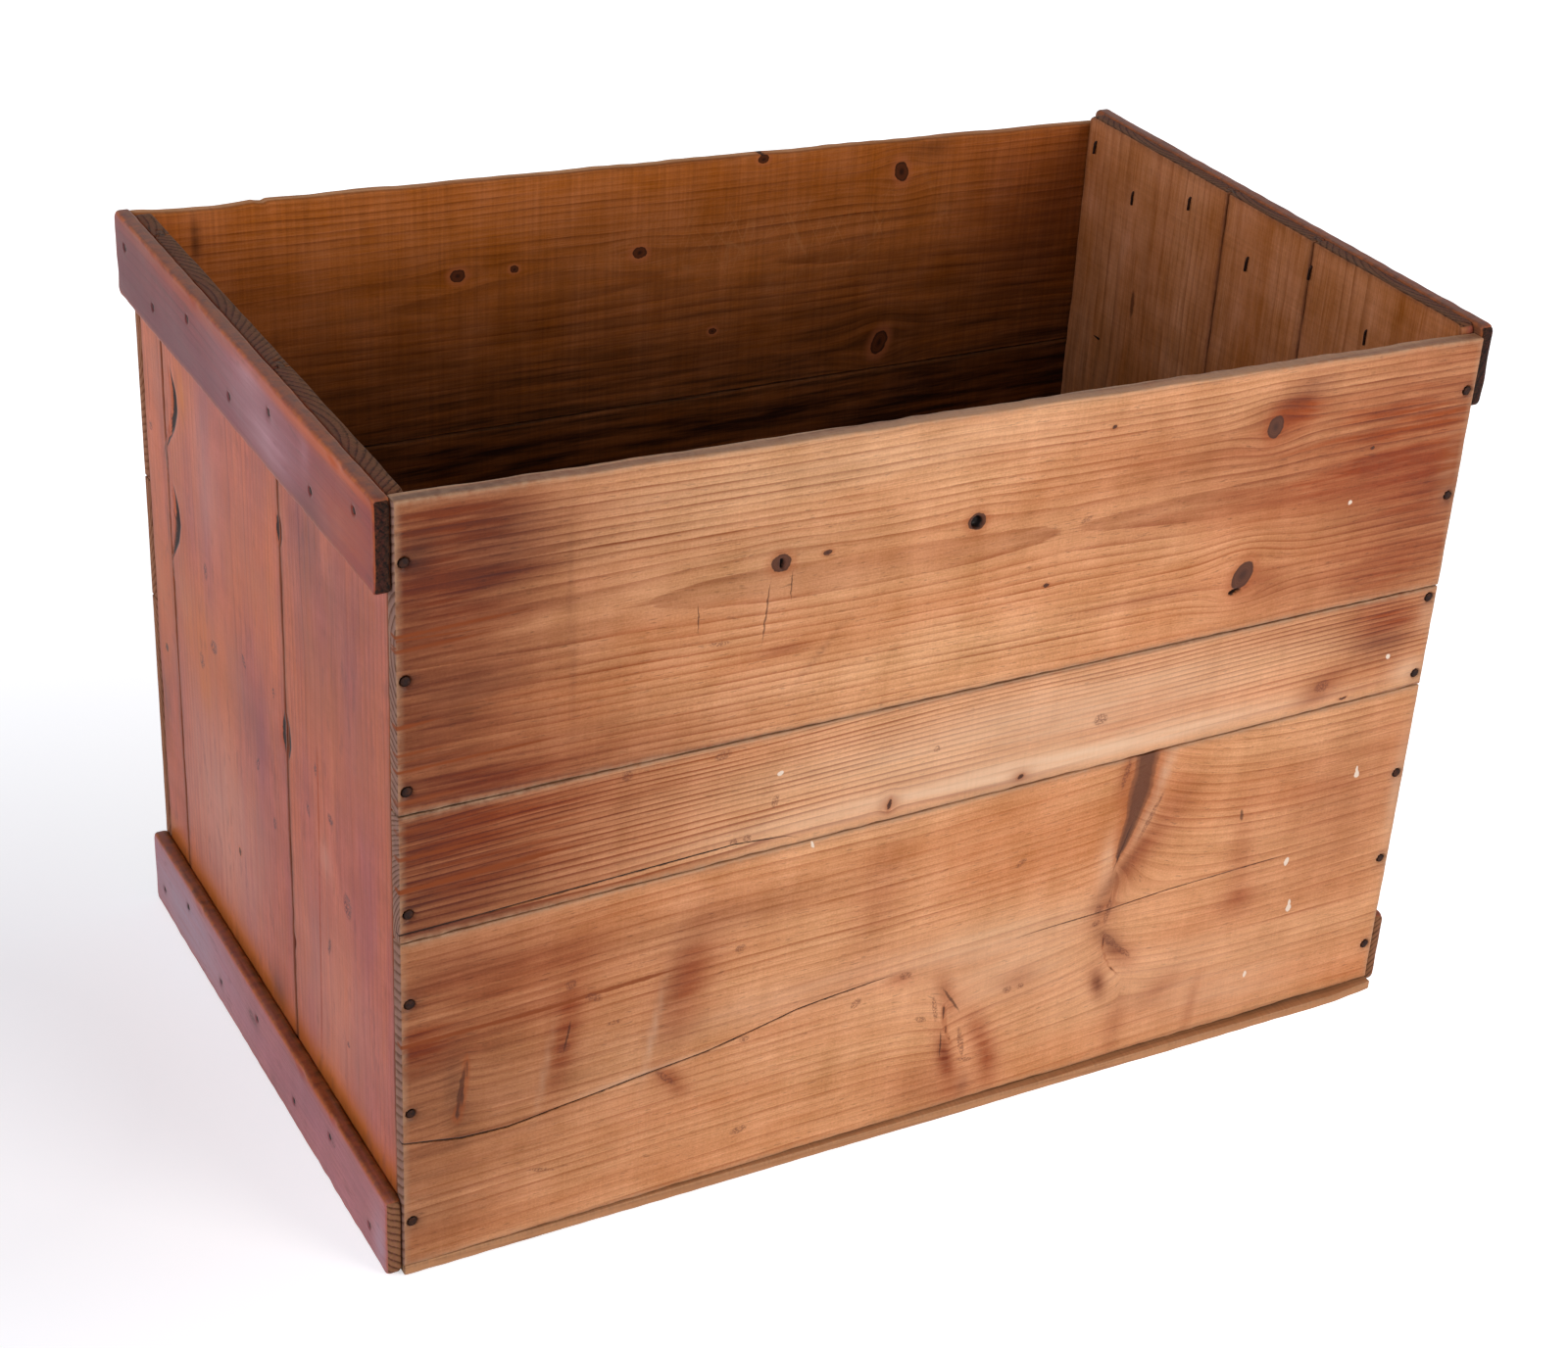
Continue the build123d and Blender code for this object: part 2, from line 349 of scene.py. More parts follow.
@dataclass(frozen=True)
class Line:
    """A crack or a resin streak: its path of places, half width, depth into the wood and strength."""

    path: tuple[Place, ...]
    half: float
    depth: float = 0.0
    strength: float = 1.0

    @property
    def middle(self) -> float:
        """The mean of the path's places across the board."""
        return float(np.mean([t for _, t in self.path]))

    def at(self, s: Array) -> Array:
        """Where the line runs across the board, at places along it."""
        return np.interp(s, *zip(*self.path))

    def tips(self, s: Array) -> Array:
        """Fades the line out over its last stretch at both ends.

        Args:
            s: places along the board.

        Returns:
            1 along the line, falling to 0 at its tips.
        """
        start, stop = self.path[0][0], self.path[-1][0]
        fade = min(25.0, 0.3 * (stop - start))
        return np.clip((s - start) / fade, 0, 1) * np.clip((stop - s) / fade, 0, 1)


@dataclass(frozen=True)
class Dent:
    """A knocked-in place: place, half sizes, depth in mm and tilt in degrees."""

    place: Place
    size: Place
    depth: float
    tilt: float = 0.0

    @classmethod
    def rows(cls, *rows: tuple[float, ...]) -> "tuple[Dent, ...]":
        """Dents. A row has place, half sizes, depth and, where needed, tilt."""
        return tuple(cls(row[:2], row[2:4], *row[4:]) for row in rows)


def local(place: Place, size: Place, tilt: float, s: Array, t: Array) -> Array:
    """Distance from a place in units of a tilted oval's half sizes.

    Args:
        place: the middle of the oval in mm.
        size: its half sizes in mm.
        tilt: its turn in degrees.
        s: places along the board.
        t: places across the board.

    Returns:
        1 on the oval's outline, 0 at its middle.
    """
    turn = math.radians(tilt)
    ds, dt = s - place[0], t - place[1]
    along = ds * math.cos(turn) + dt * math.sin(turn)
    across = dt * math.cos(turn) - ds * math.sin(turn)
    return np.sqrt((along / size[0]) ** 2 + (across / size[1]) ** 2)


@dataclass(frozen=True)
class WoodFinish:
    """A wood and what has been done to its surface. Colours are sRGB hex, the rest are shares of 1."""

    name: str
    early: str
    late: str
    tone: str
    end: str
    end_early: str
    worn: str
    contrast: float = 0.8
    tone_share: float = 0.4
    red: str = "#8a3a14"
    dark: str = "#57302a"
    pale: str = "#e9c3a2"
    # The colour of grime and of the painted shade inside the box
    grime: str = "#2a1208"
    resin: str = "#86350c"
    knot: str = "#36170b"
    knot_edge: str = "#864524"
    # Near-black painted shade in the holes of fallen knots
    hole_shade: str = "#0c0605"
    # The dark of cracks, a painted shade in the split
    split: str = "#240f08"
    paint: str = "#ecdccb"
    inner: tuple[str, str, str] | None = None
    broad: float = 0.4
    fibre: float = 0.5
    # How strong the painted sheen is, in bands across the grain
    painted_satin_sheen: float = 0.4
    blotch: float = 0.4
    grit: float = 0.2
    saw: float = 0.05
    inner_saw: float = 0.22
    scratch: float = 0.06
    inner_scratch: float = 0.3
    pores: float = 0.25
    bruise: float = 0.4
    scuff: float = 0.0
    end_share: float = 0.9
    worn_share: float = 0.6
    rough: float = 0.5
    ior: float = 1.45
    relief: float = 0.05

    def dress(self, board: "Board") -> bpy.types.Material:
        """Makes the wood of one board.

        Args:
            board: the board whose lay, grain attributes and spots the wood follows.

        Returns:
            The finished material.
        """
        material = bpy.data.materials.new(f"{self.name}_{board.node}")
        material.use_nodes = True
        n = Nodes(material.node_tree)
        noise = self.patterns(n, board)
        colour, height = self.figure(n, noise, board.grain.strength)
        colour, rough = self.ageing(n, noise, colour)
        colour, cuts = self.marks(n, noise, colour, board)
        height = n.add(SUBTRACT, [height, cuts])
        # The height is in mm, and Bump wants metres
        bump = n.add("ShaderNodeBump", {"Strength": 0.8, "Distance": MM, "Height": height})
        shader = n.add(
            PRINCIPLED, {"Base Color": colour, "Roughness": rough, "Normal": bump, "IOR": self.ior}
        )
        n.add("ShaderNodeOutputMaterial", {"Surface": shader})
        return material

    def patterns(self, n: Nodes, board: "Board") -> Sockets:
        """Reads the board's attributes and lays out its noises in mm.

        Args:
            n: the material's nodes.
            board: the board to follow.

        Returns:
            Named values and vectors for the rest of the material.
        """
        found = {}
        for name in ("grain", "spike"):
            found[name] = n.add("ShaderNodeAttribute", out=2, attribute_name=name)
        for name in ("lay", "crack", "streak", "wear"):
            found[name] = n.add("ShaderNodeAttribute", out=1, attribute_name=name)
        stain = n.add("ShaderNodeAttribute", attribute_name="stain")
        parts = n.add("ShaderNodeSeparateColor", [stain]).node.outputs
        found |= dict(zip(("red stain", "dark stain", "pale stain"), parts))
        found["grime stain"] = stain.node.outputs[3]
        parts = n.add("ShaderNodeSeparateXYZ", [found["wear"]]).node.outputs
        found |= dict(zip(("worn", "end", "inside"), parts))
        place = n.add("ShaderNodeTexCoord", out=3)
        axes = n.add("ShaderNodeSeparateXYZ", [place]).node.outputs
        flat = n.add("ShaderNodeCombineXYZ", [axes[i] for i in board.lay.value[:3]])
        found["flat"] = n.add(SCALE, {0: flat, "Scale": 1 / MM})
        # Lengths along, across and into the board, in mm. Fibres are drawn three times their real width
        sizes = {
            "fibre": ("lay", (38, 0.8, 0.8), 4),
            "strand": ("lay", (90, 8, 8), 3),
            "warp": ("lay", (130, 14, 14), 2),
            "tone": ("lay", (240, 55, 55), 3),
            "painted_satin_sheen": ("lay", (24, 90, 60), 3),
            "pore": ("lay", (7, 0.9, 0.9), 1),
            "scuff": ("lay", (22, 6.5, 6.5), 2),
            "mottle": ("lay", (75, 5, 5), 4),
            "blotch": ("flat", (45, 30, 30), 4),
            "grit": ("flat", (1.3, 1.3, 1.3), 3),
            "chew": ("flat", (5, 5, 5), 3),
            "saw": ("flat", (1.7, 70, 70), 2),
        }
        for name, (base, size, detail) in sizes.items():
            spot = n.add(STRETCH, [found[base], [1 / x for x in size]])
            found[name] = n.add(NOISE, {"Vector": spot, "Scale": 1.0, "Detail": detail, "Roughness": 0.6})
        return found

    def figure(self, n: Nodes, noise: Sockets, strength: float) -> tuple[Socket, Socket]:
        """Draws growth rings, fibres and tone.

        Args:
            n: the material's nodes.
            noise: the board's values and noises.
            strength: how clear the rings are.

        Returns:
            The colour and the height in mm.
        """
        # The noises that bend the rings, as shares of a ring. Both are a half on average
        bends = {"warp": 0.35, "fibre": 0.12}
        phase = n.add(SUBTRACT, [noise["grain"], 0.5 * sum(bends.values())])
        for name, share in bends.items():
            phase = n.add(MULTIPLY_ADD, [noise[name], share, phase])
        part = n.add(MATH, [phase], operation="FRACT")
        count = n.add(MATH, [phase], operation="FLOOR")
        # Latewood darkens slowly through a year's ring and stops sharply at its end
        rise = n.add(RANGE, [part, 0.3, 1.0, 0.0, self.broad])
        line = n.add(RANGE, [part, 0.6, 0.94, 0.0, 1 - self.broad], interpolation_type="SMOOTHSTEP")
        late = n.add(ADD, [rise, line])
        stop = n.add(RANGE, [part, 1.0, 0.96])
        year = n.add("ShaderNodeTexWhiteNoise", {"W": count}, noise_dimensions="1D")
        year = n.add(RANGE, [year, 0.0, 1.0, 0.5, 1.1])
        patch = n.add(RANGE, [noise["strand"], 0.3, 0.7, 0.3, 1.35])
        for factor in (stop, year, patch):
            late = n.add(MULTIPLY, [late, factor])
        noise["late"] = late
        share = n.add(MULTIPLY, [late, self.contrast * strength], use_clamp=True)
        outer = (self.early, self.late, self.tone)
        early, dense, tint = (
            n.add(MIX, {0: noise["inside"], 6: linear(here), 7: linear(there)}, **COLOURS)
            for here, there in zip(outer, self.inner or outer)
        )
        colour = n.add(MIX, {0: share, 6: early, 7: dense}, **COLOURS)
        tone = n.add(RANGE, [noise["tone"], 0.35, 0.7, 0.0, self.tone_share])
        colour = n.add(MIX, {0: tone, 6: colour, 7: tint}, **COLOURS)
        # The satin noise is a painted sheen: bright and dark bands across the grain
        amounts = {"fibre": self.fibre, "painted_satin_sheen": self.painted_satin_sheen, "blotch": self.blotch, "grit": self.grit}
        value = 1 - sum(amounts.values()) / 2
        for name, amount in amounts.items():
            value = n.add(MULTIPLY_ADD, [noise[name], amount, value])
        # Light fibres are paler, dark ones richer
        rich = n.add(MULTIPLY_ADD, [value, -0.25, 1.25])
        colour = n.add("ShaderNodeHueSaturation", {"Value": value, "Saturation": rich, "Color": colour})
        pore = n.add(RANGE, [noise["pore"], 0.64, 0.76, 0.0, self.pores])
        colour = n.add(MIX, {0: pore, 6: colour, 7: linear(self.knot)}, **COLOURS)
        height = n.add(MULTIPLY, [late, self.relief])
        height = n.add(MULTIPLY_ADD, [noise["fibre"], 0.05, height])
        return colour, height

    def ageing(self, n: Nodes, noise: Sockets, colour: Socket) -> tuple[Socket, Socket]:
        """Lays stains, wear, end grain and saw marks over the figure.

        Args:
            n: the material's nodes.
            noise: the board's values and noises.
            colour: the figure's colour.

        Returns:
            The aged colour and the roughness.
        """
        broken = n.add(RANGE, [noise["mottle"], 0.35, 0.65, 0.75, 1.2])
        # The grime stain also carries the painted shade inside the box
        for name in ("pale", "red", "dark", "grime"):
            tint = linear(getattr(self, name))
            share = n.add(MULTIPLY, [noise[f"{name} stain"], broken], use_clamp=True)
            # A darker stain dyes the wood, so that the rings still show. A paler one covers them
            dye = [a / b for a, b in zip(tint, linear(self.early))]
            darkens = max(dye) <= 1
            colour = n.add(
                MIX,
                {0: share, 6: colour, 7: dye if darkens else tint},
                blend_type="MULTIPLY" if darkens else "MIX",
                **COLOURS,
            )
        chewed = n.add(RANGE, [noise["chew"], 0.3, 0.65, 0.35, 1.4])
        worn = n.add(MULTIPLY, [noise["worn"], chewed])
        worn = n.add(MULTIPLY, [worn, self.worn_share], use_clamp=True)
        colour = n.add(MIX, {0: worn, 6: colour, 7: linear(self.worn)}, **COLOURS)
        end = n.add(RANGE, [noise["grit"], 0.3, 0.7, 0.8, 1.1])
        end = n.add(MULTIPLY, [end, noise["end"]])
        end = n.add(MULTIPLY, [end, self.end_share], use_clamp=True)
        tick = n.add(RANGE, [noise["late"], 0.05, 0.4])
        ringed = n.add(MIX, {0: tick, 6: linear(self.end_early), 7: linear(self.end)}, **COLOURS)
        colour = n.add(MIX, {0: end, 6: colour, 7: ringed}, **COLOURS)
        deep = n.add(RANGE, [noise["inside"], 0.0, 1.0, 1 - self.saw, 1 - self.inner_saw])
        saw = n.add(RANGE, [noise["saw"], 0.3, 0.7, deep, 1.0])
        colour = n.add("ShaderNodeHueSaturation", {"Value": saw, "Color": colour})
        # Roughness varies over the board, and end grain is rougher
        rough = n.add(MULTIPLY_ADD, [noise["blotch"], 0.24, self.rough - 0.12])
        rough = n.add(MULTIPLY_ADD, [end, 0.3, rough], use_clamp=True)
        return colour, rough

    def marks(self, n: Nodes, noise: Sockets, colour: Socket, board: "Board") -> tuple[Socket, Socket]:
        """Draws knots, branches, streaks, cracks, scratches, bruises and paint.

        Args:
            n: the material's nodes.
            noise: the board's values and noises.
            colour: the aged colour.
            board: the board whose spots are drawn.

        Returns:
            The colour and how deep the marks are cut, in mm.
        """
        near = self.nearest(n, noise, board.spots)
        knot = near[Mark.KNOT]
        branch = n.add(MULTIPLY_ADD, [noise["chew"], 0.4, noise["spike"]])
        branch = n.add(SUBTRACT, [branch, 0.2])
        # A knot has its own rings, a sixth of its size apart
        rings = n.add(MATH, [knot, 0.09], operation="PINGPONG")
        inner = n.add(RANGE, [knot, 1.1, 0.9, 0.0, 5.0])
        rings = n.add(MULTIPLY, [rings, inner])
        speckle = n.add(RANGE, [noise["grit"], 0.4, 0.56])
        bruise = n.add(RANGE, [near[Mark.BRUISE], 1.2, 0.85, 0.0, self.bruise])
        bruise = n.add(MULTIPLY, [bruise, speckle])
        outside = n.add(SUBTRACT, [1.0, noise["inside"]])
        gate = n.add(RANGE, [noise["blotch"], 0.42, 0.56, 0.0, self.scuff])
        scuff = n.add(RANGE, [noise["scuff"], 0.57, 0.66])
        for factor in (gate, outside):
            scuff = n.add(MULTIPLY, [scuff, factor])
        streak, crack = self.line(n, noise, "streak", 0.5), self.line(n, noise, "crack", 0.25)
        scratch = self.scratches(n, noise)
        # A layer is a mask or a distance, its colour, and for a distance where it fades and its strength
        layers = [
            (scratch, self.pale, None),
            (scuff, self.dark, None),
            (streak, self.resin, None),
            (branch, self.red, (2.8, 0.9, 0.45)),
            (branch, self.knot_edge, (1.15, 0.85, 0.65)),
            (branch, self.knot, (0.85, 0.5, 0.55)),
            (knot, self.red, (2.3, 1.0, 0.4)),
            (knot, self.knot, (1.15, 1.02, 0.9)),
            (knot, self.knot_edge, (0.97, 0.8, 0.7)),
            (rings, self.knot, None),
            (knot, self.knot, (0.6, 0.1, 0.8)),
            (bruise, self.dark, None),
            (near[Mark.CHECK], self.knot, (1.3, 0.6, 0.7)),
            # Fallen knots' holes are painted near-black, a painted shade
            (near[Mark.HOLE], self.hole_shade, (1.15, 0.85, 0.97)),
            # Cracks are painted dark, a painted shade in the split
            (crack, self.split, None),
            (near[Mark.PAINT], self.paint, (1.15, 0.85, 0.85)),
        ]
        both_sides = (self.red, self.knot, self.knot_edge, self.pale)
        for mask, tint, fade in layers:
            # A kind of spot that the board doesn't have is far away everywhere
            if mask == FAR:
                continue
            if fade:
                mask = n.add(RANGE, [mask, *fade[:2], 0.0, fade[2]], interpolation_type="SMOOTHSTEP")
            if tint not in both_sides:
                mask = n.add(MULTIPLY, [mask, outside])
            colour = n.add(MIX, {0: mask, 6: colour, 7: linear(tint)}, **COLOURS)
        cuts = n.add(MULTIPLY, [scratch, 0.08])
        cuts = n.add(MULTIPLY_ADD, [crack, 0.3, cuts])
        return colour, cuts

    @staticmethod
    def nearest(n: Nodes, noise: Sockets, spots: tuple[Spot, ...]) -> dict[Mark, Socket | float]:
        """Finds how far each place is from the nearest spot of each kind.

        Args:
            n: the material's nodes.
            noise: the board's values and noises.
            spots: the board's spots.

        Returns:
            Distances in units of the spots' half sizes, or far away where a kind has no spot.
        """
        # The outlines are ragged by up to 1.2 mm
        ragged = n.add(SHIFT, [noise["chew"].node.outputs[1], (0.5, 0.5, 0.5)])
        ragged = n.add(VECTOR, [ragged, (2.4, 2.4, 0), noise["flat"]], operation="MULTIPLY_ADD")
        near = dict.fromkeys(Mark, FAR)
        for spot in spots:
            turned = n.add(
                "ShaderNodeMapping",
                {
                    "Vector": ragged,
                    "Location": (*spot.place, 0),
                    "Rotation": (0, 0, math.radians(spot.tilt)),
                    "Scale": (*spot.size, 1e5),
                },
                vector_type="TEXTURE",
            )
            away = n.add(LENGTH, [turned], out=1)
            near[spot.mark] = n.add(MINIMUM, [away, near[spot.mark]])
        return near

    @staticmethod
    def line(n: Nodes, noise: Sockets, name: str, soft: float) -> Socket:
        """Draws the lines of one attribute with ragged sides.

        Args:
            n: the material's nodes.
            noise: the board's values and noises.
            name: the attribute, with distance, half width and strength.
            soft: how soft the sides are, in mm.

        Returns:
            How strongly each place is covered.
        """
        parts = n.add("ShaderNodeSeparateXYZ", [noise[name]]).node.outputs
        away = n.add(ABSOLUTE, [parts[0]])
        half = n.add(ADD, [noise["chew"], 0.45])
        half = n.add(MULTIPLY, [half, parts[1]])
        inside = n.add(SUBTRACT, [half, away])
        mask = n.add(RANGE, [inside, -soft / 2, soft])
        return n.add(MULTIPLY, [mask, parts[2]])

    def scratches(self, n: Nodes, noise: Sockets) -> Socket:
        """Draws thin bent scratches, along contour lines of a slow noise.

        Args:
            n: the material's nodes.
            noise: the board's values and noises.

        Returns:
            How strongly each place is scratched.
        """
        share = n.add(RANGE, [noise["inside"], 0.0, 1.0, self.scratch, self.inner_scratch])
        found = 0.0
        # Each set is a size in mm and a turn: scratches bend over that length and are 0.4 mm wide
        for length, turn in ((15, 70), (22, -62), (34, 25)):
            turned = n.add(
                "ShaderNodeMapping",
                {
                    "Vector": noise["flat"],
                    "Location": (length * 7, length * 3, length),
                    "Rotation": (0, 0, math.radians(turn)),
                    "Scale": (length * 4.0, length * 0.6, length),
                },
                vector_type="TEXTURE",
            )
            level = n.add(NOISE, {"Vector": turned, "Scale": 1.0, "Detail": 0.0})
            away = n.add(SUBTRACT, [level, 0.52])
            away = n.add(ABSOLUTE, [away])
            cut = n.add(RANGE, [away, 0.5 / length, 0.0])
            found = n.add(MAXIMUM, [cut, found])
        # They gather where the wood is rubbed pale
        for place, low, high in ((noise["blotch"], 0.42, 0.56), (noise["pale stain"], 0.03, 0.2)):
            gate = n.add(RANGE, [place, low, high])
            found = n.add(MULTIPLY, [found, gate])
        return n.add(MULTIPLY, [found, share])


# How near, in mm, a vertex lies to its face, its end or its edge line, and to others at the same place
ON_FACE, AT_END, ON_EDGE, SAME = 0.05, 4.0, 0.02, 0.06
# Reach and spacing in mm of the finer grid at board ends and cracks
END_GRID, CRACK_GRID = (3.0, 0.6), (2.6, 0.55)
# Half the thickness of a tongue and its play in the groove, in mm
TONGUE, PLAY = 1.5, 0.25
# Depths of the grid below a face, in mm
LEVELS = np.array([0, 0.35, 0.8, 1.5, 2.4])
# How deep a fallen knot and the seat of a nail are, in mm
HOLE_DEPTH, NAIL_SEAT = 4.2, 1.7
# Wave lengths in mm: how arrises wear, long and short, then board ends and top edges
ARRIS_WAVE, ARRIS_RIPPLE, END_WAVE, TOP_WAVE = 70, 19, 23, 60
# How far below a top edge its dips and its nicks reach, in mm
DIP_REACH, NICK_REACH = 14, 10
# How far around a knot the rings bend, along and across, in its half sizes
KNOT_REACH = (4.5, 2.4)
# The distance that stands for no line, and how far from a line it still has a width, in mm
NO_LINE, LINE_REACH = 99.0, 6
# Attribute types and their keys by the count of values at a point
ATTRIBUTES = {1: ("FLOAT", "value"), 3: ("FLOAT_VECTOR", "vector"), 4: ("FLOAT_COLOR", "color")}


@dataclass
class Board:
    """One board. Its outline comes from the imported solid, its grain and its wear are its own, in mm."""

    node: str
    lay: Lay
    slot: str
    finish: WoodFinish
    grain: Grain
    seed: int
    low_edge: Edge = Edge.PLAIN
    high_edge: Edge = Edge.PLAIN
    step: float = 3.0
    arris: float = 1.1
    arris_wear: float = 0.7
    end_round: float = 0.9
    corner: float = 0.0
    sway: float = 0.25
    high_wave: float = 0.0
    tongue: float = 6.0
    spots: tuple[Spot, ...] = ()
    spikes: tuple[Spike, ...] = ()
    stains: tuple[Stain, ...] = ()
    cracks: tuple[Line, ...] = ()
    streaks: tuple[Line, ...] = ()
    dents: tuple[Dent, ...] = ()
    nails: list[Place] = field(default_factory=list)
    nail_radius: float = 3.3
    wear_reach: float = 5.0
    joint_grime: Place = (0.0, 0.0)
    top_dust: float = 0.0
    nicks: tuple[tuple[float, float, float], ...] = ()
    # Painted shade on the inner face, with dust on the floor: strength at the rim, strength deep down, how
    # far below the rim that lies, and how far from the long edges it fades in, in mm
    inner_grime: tuple[float, float, float] = (0.0, 0.0, 1.0)
    grime_gap: float = 2.0
    stained_inside: bool = False
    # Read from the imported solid
    face: float = field(init=False)
    thick: float = field(init=False)
    reach: float = field(init=False)
    start: float = field(init=False)
    stop: float = field(init=False)
    low_line: tuple[Array, Array] = field(init=False)
    high_line: tuple[Array, Array] = field(init=False)

    @property
    def worked(self) -> bool:
        """Whether a long edge has a tongue or a groove."""
        return (self.low_edge, self.high_edge) != (Edge.PLAIN, Edge.PLAIN)

    @property
    def holes(self) -> list[Spot]:
        """The knots that have fallen out or split open."""
        return [spot for spot in self.spots if spot.mark is Mark.HOLE]

    def outline(self, frame_nodes: dict[str, bpy.types.Object]) -> None:
        """Reads the board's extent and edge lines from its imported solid.

        Args:
            frame_nodes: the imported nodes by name.
        """
        along, across, depth, way = self.lay.value
        co = vertices(frame_nodes[self.node].data)
        s, t, n = co[:, along], co[:, across], way * co[:, depth]
        self.face = float(n.min())
        self.thick = float(n.max()) - self.face
        if self.worked:
            self.reach = float(t.max())
            on_face = n < self.face + ON_FACE
            s, t = s[on_face], t[on_face]
        self.start, self.stop = float(s.min()), float(s.max())
        first, last = s < self.start + AT_END, s > self.stop - AT_END
        ends = (self.start, self.stop)
        low = np.interp(s, ends, (t[first].min(), t[last].min()))
        high = np.interp(s, ends, (t[first].max(), t[last].max()))
        self.low_line = self.chain(s, t, t <= low + ON_EDGE, np.minimum)
        self.high_line = self.chain(s, t, t >= high - ON_EDGE, np.maximum)

    @staticmethod
    def chain(s: Array, t: Array, chosen: Array, pick: np.ufunc) -> tuple[Array, Array]:
        """Joins chosen outline points into one edge line.

        Args:
            s: places along the board.
            t: places across the board.
            chosen: which points lie on the edge.
            pick: minimum for the low edge, maximum for the high one.

        Returns:
            Places along, and the edge's place across at each.
        """
        where = np.unique(np.round(s[chosen], 1))
        edge = [pick.reduce(t[chosen][np.abs(s[chosen] - x) < SAME]) for x in where]
        return where, np.array(edge)

    def edges(self, s: Array | float) -> tuple[Array, Array]:
        """The low and the high edge at places along the board."""
        return np.interp(s, *self.low_line), np.interp(s, *self.high_line)

    def build(self) -> bpy.types.Object:
        """Builds the board's mesh and writes its grain and wear into attributes.

        Returns:
            The board's object, without its material.
        """
        points, filled = self.grid()
        s, t, n = self.shape(points)
        quads = self.quads(s.shape, filled)
        along, across, depth, way = self.lay.value
        co = np.empty((s.size, 3))
        co[:, along], co[:, across] = s.ravel(), t.ravel()
        co[:, depth] = way * (self.face + n.ravel())
        right_handed = (along, across, depth) in ((0, 1, 2), (1, 2, 0), (2, 0, 1))
        if right_handed != (way > 0):
            quads = quads[:, ::-1]
        used, quads = np.unique(quads, return_inverse=True)
        mesh = bpy.data.meshes.new(self.node)
        mesh.from_pydata((co[used] * MM).tolist(), [], quads.reshape(-1, 4).tolist())
        mesh.polygons.foreach_set("use_smooth", np.ones(len(mesh.polygons), bool))
        for name, values in self.fields(Points(*(x.ravel()[used] for x in points))).items():
            kind, key = ATTRIBUTES[values.size // len(values)]
            attribute = mesh.attributes.new(name, kind, "POINT")
            attribute.data.foreach_set(key, np.ascontiguousarray(values, np.float32).ravel())
        mesh.validate()
        mesh.update()
        return place_piece(self.node, mesh)

    def grid(self) -> tuple[Points, Array]:
        """Lays out the board's grid.

        Returns:
            The grid's places, and which cells of the section hold wood.
        """
        low, high = self.edges((self.start + self.stop) / 2)
        along, across = self.grid_lines(low, high - low)
        lower, upper = (edge[:, None] for edge in self.edges(along))
        t = lower + (across / (high - low))[None, :] * (upper - lower)
        # The grid bends to follow each crack, within these reaches of its tips, its sides and the edges
        tip, side, edge = 45, 34, 6
        for crack in self.cracks:
            beyond = np.maximum(crack.path[0][0] - along, along - crack.path[-1][0])
            shift = (crack.at(along) - crack.middle) * smooth(tip, 0, beyond)
            pull = np.clip(1 - np.abs(t - crack.middle) / side, 0, 1)
            free = np.clip(np.minimum(t - lower, upper - t) / edge, 0, 1)
            t = t + pull * free * shift[:, None]
        half = self.thick / 2
        inner = [half - TONGUE - PLAY, half - TONGUE] if self.worked else [half]
        levels = np.concatenate([LEVELS[LEVELS < half - 0.5], inner])
        depth = np.unique(np.round(np.concatenate([levels, self.thick - levels[::-1]]), 4))
        cells = (depth[1:] + depth[:-1]) / 2
        filled = np.ones((len(across) - 1, len(cells)), bool)
        if self.low_edge is Edge.GROOVE:
            inside = across[1:] <= self.tongue + PLAY + 0.01
            filled[np.ix_(inside, np.abs(cells - half) < TONGUE + PLAY)] = False
        if self.high_edge is Edge.TONGUE:
            extra = np.array([0.5, 1.0]) * (self.reach - high)
            t = np.concatenate([t, upper + extra[None, :]], axis=1)
            lip = np.broadcast_to(np.abs(cells - half) < TONGUE, (2, len(cells)))
            filled = np.concatenate([filled, lip])
        shape = (len(along), t.shape[1], len(depth))
        s, t, n = (np.broadcast_to(x, shape) for x in (along[:, None, None], t[:, :, None], depth))
        return Points(s, t, n, *self.edges(s)), filled

    def grid_lines(self, low: float, width: float) -> tuple[Array, Array]:
        """Finds the lines of the grid, closer together at arrises, nails, holes and cracks.

        Args:
            low: the low edge at the middle of the board.
            width: the board's width there.

        Returns:
            Places along the board, and places across it from its low edge.
        """
        length = self.stop - self.start
        arris = (self.arris * 2.2, self.arris / 3)
        cols, rows = [(0.0, *END_GRID), (length, *END_GRID)], [(0.0, *arris), (width, *arris)]
        for s, t in self.nails:
            lower, upper = self.edges(s)
            cols.append((s - self.start, self.nail_radius + 1.4, 0.8))
            rows.append(((t - lower) / (upper - lower) * width, self.nail_radius + 1.2, 1.0))
        for hole in self.holes:
            cols.append((hole.place[0] - self.start, hole.size[0] + 1.5, 0.7))
            rows.append((hole.place[1] - low, hole.size[1] + 1.5, 0.7))
        middles = [crack.middle - low for crack in self.cracks]
        rows += [(middle, *CRACK_GRID) for middle in middles]
        across = spread(width, self.step, rows)
        if self.low_edge is Edge.GROOVE:
            middles.append(self.tongue + PLAY)
        # One line runs along each crack and along the bottom of the groove
        for middle in middles:
            across[np.argmin(np.abs(across - middle))] = middle
        return self.start + spread(length, self.step, cols), across

    def uneven(self, number: int, where: Array, length: float) -> Array:
        """One of the board's random waves by number, about -1 to 1, with a typical length in mm."""
        return waves(self.seed + number, where, np.zeros(1), (length, length))

    def shape(self, p: Points) -> tuple[Array, Array, Array]:
        """Rounds and wears the board, always inside its solid.

        Args:
            p: the grid's places.

        Returns:
            The worn places along, across and deep.
        """
        s, t, n, low, high = p
        sides = ((low, 1, True), (low, 1, False), (high, -1, True), (high, -1, False))
        for number, (edge, way, outer) in enumerate(sides):
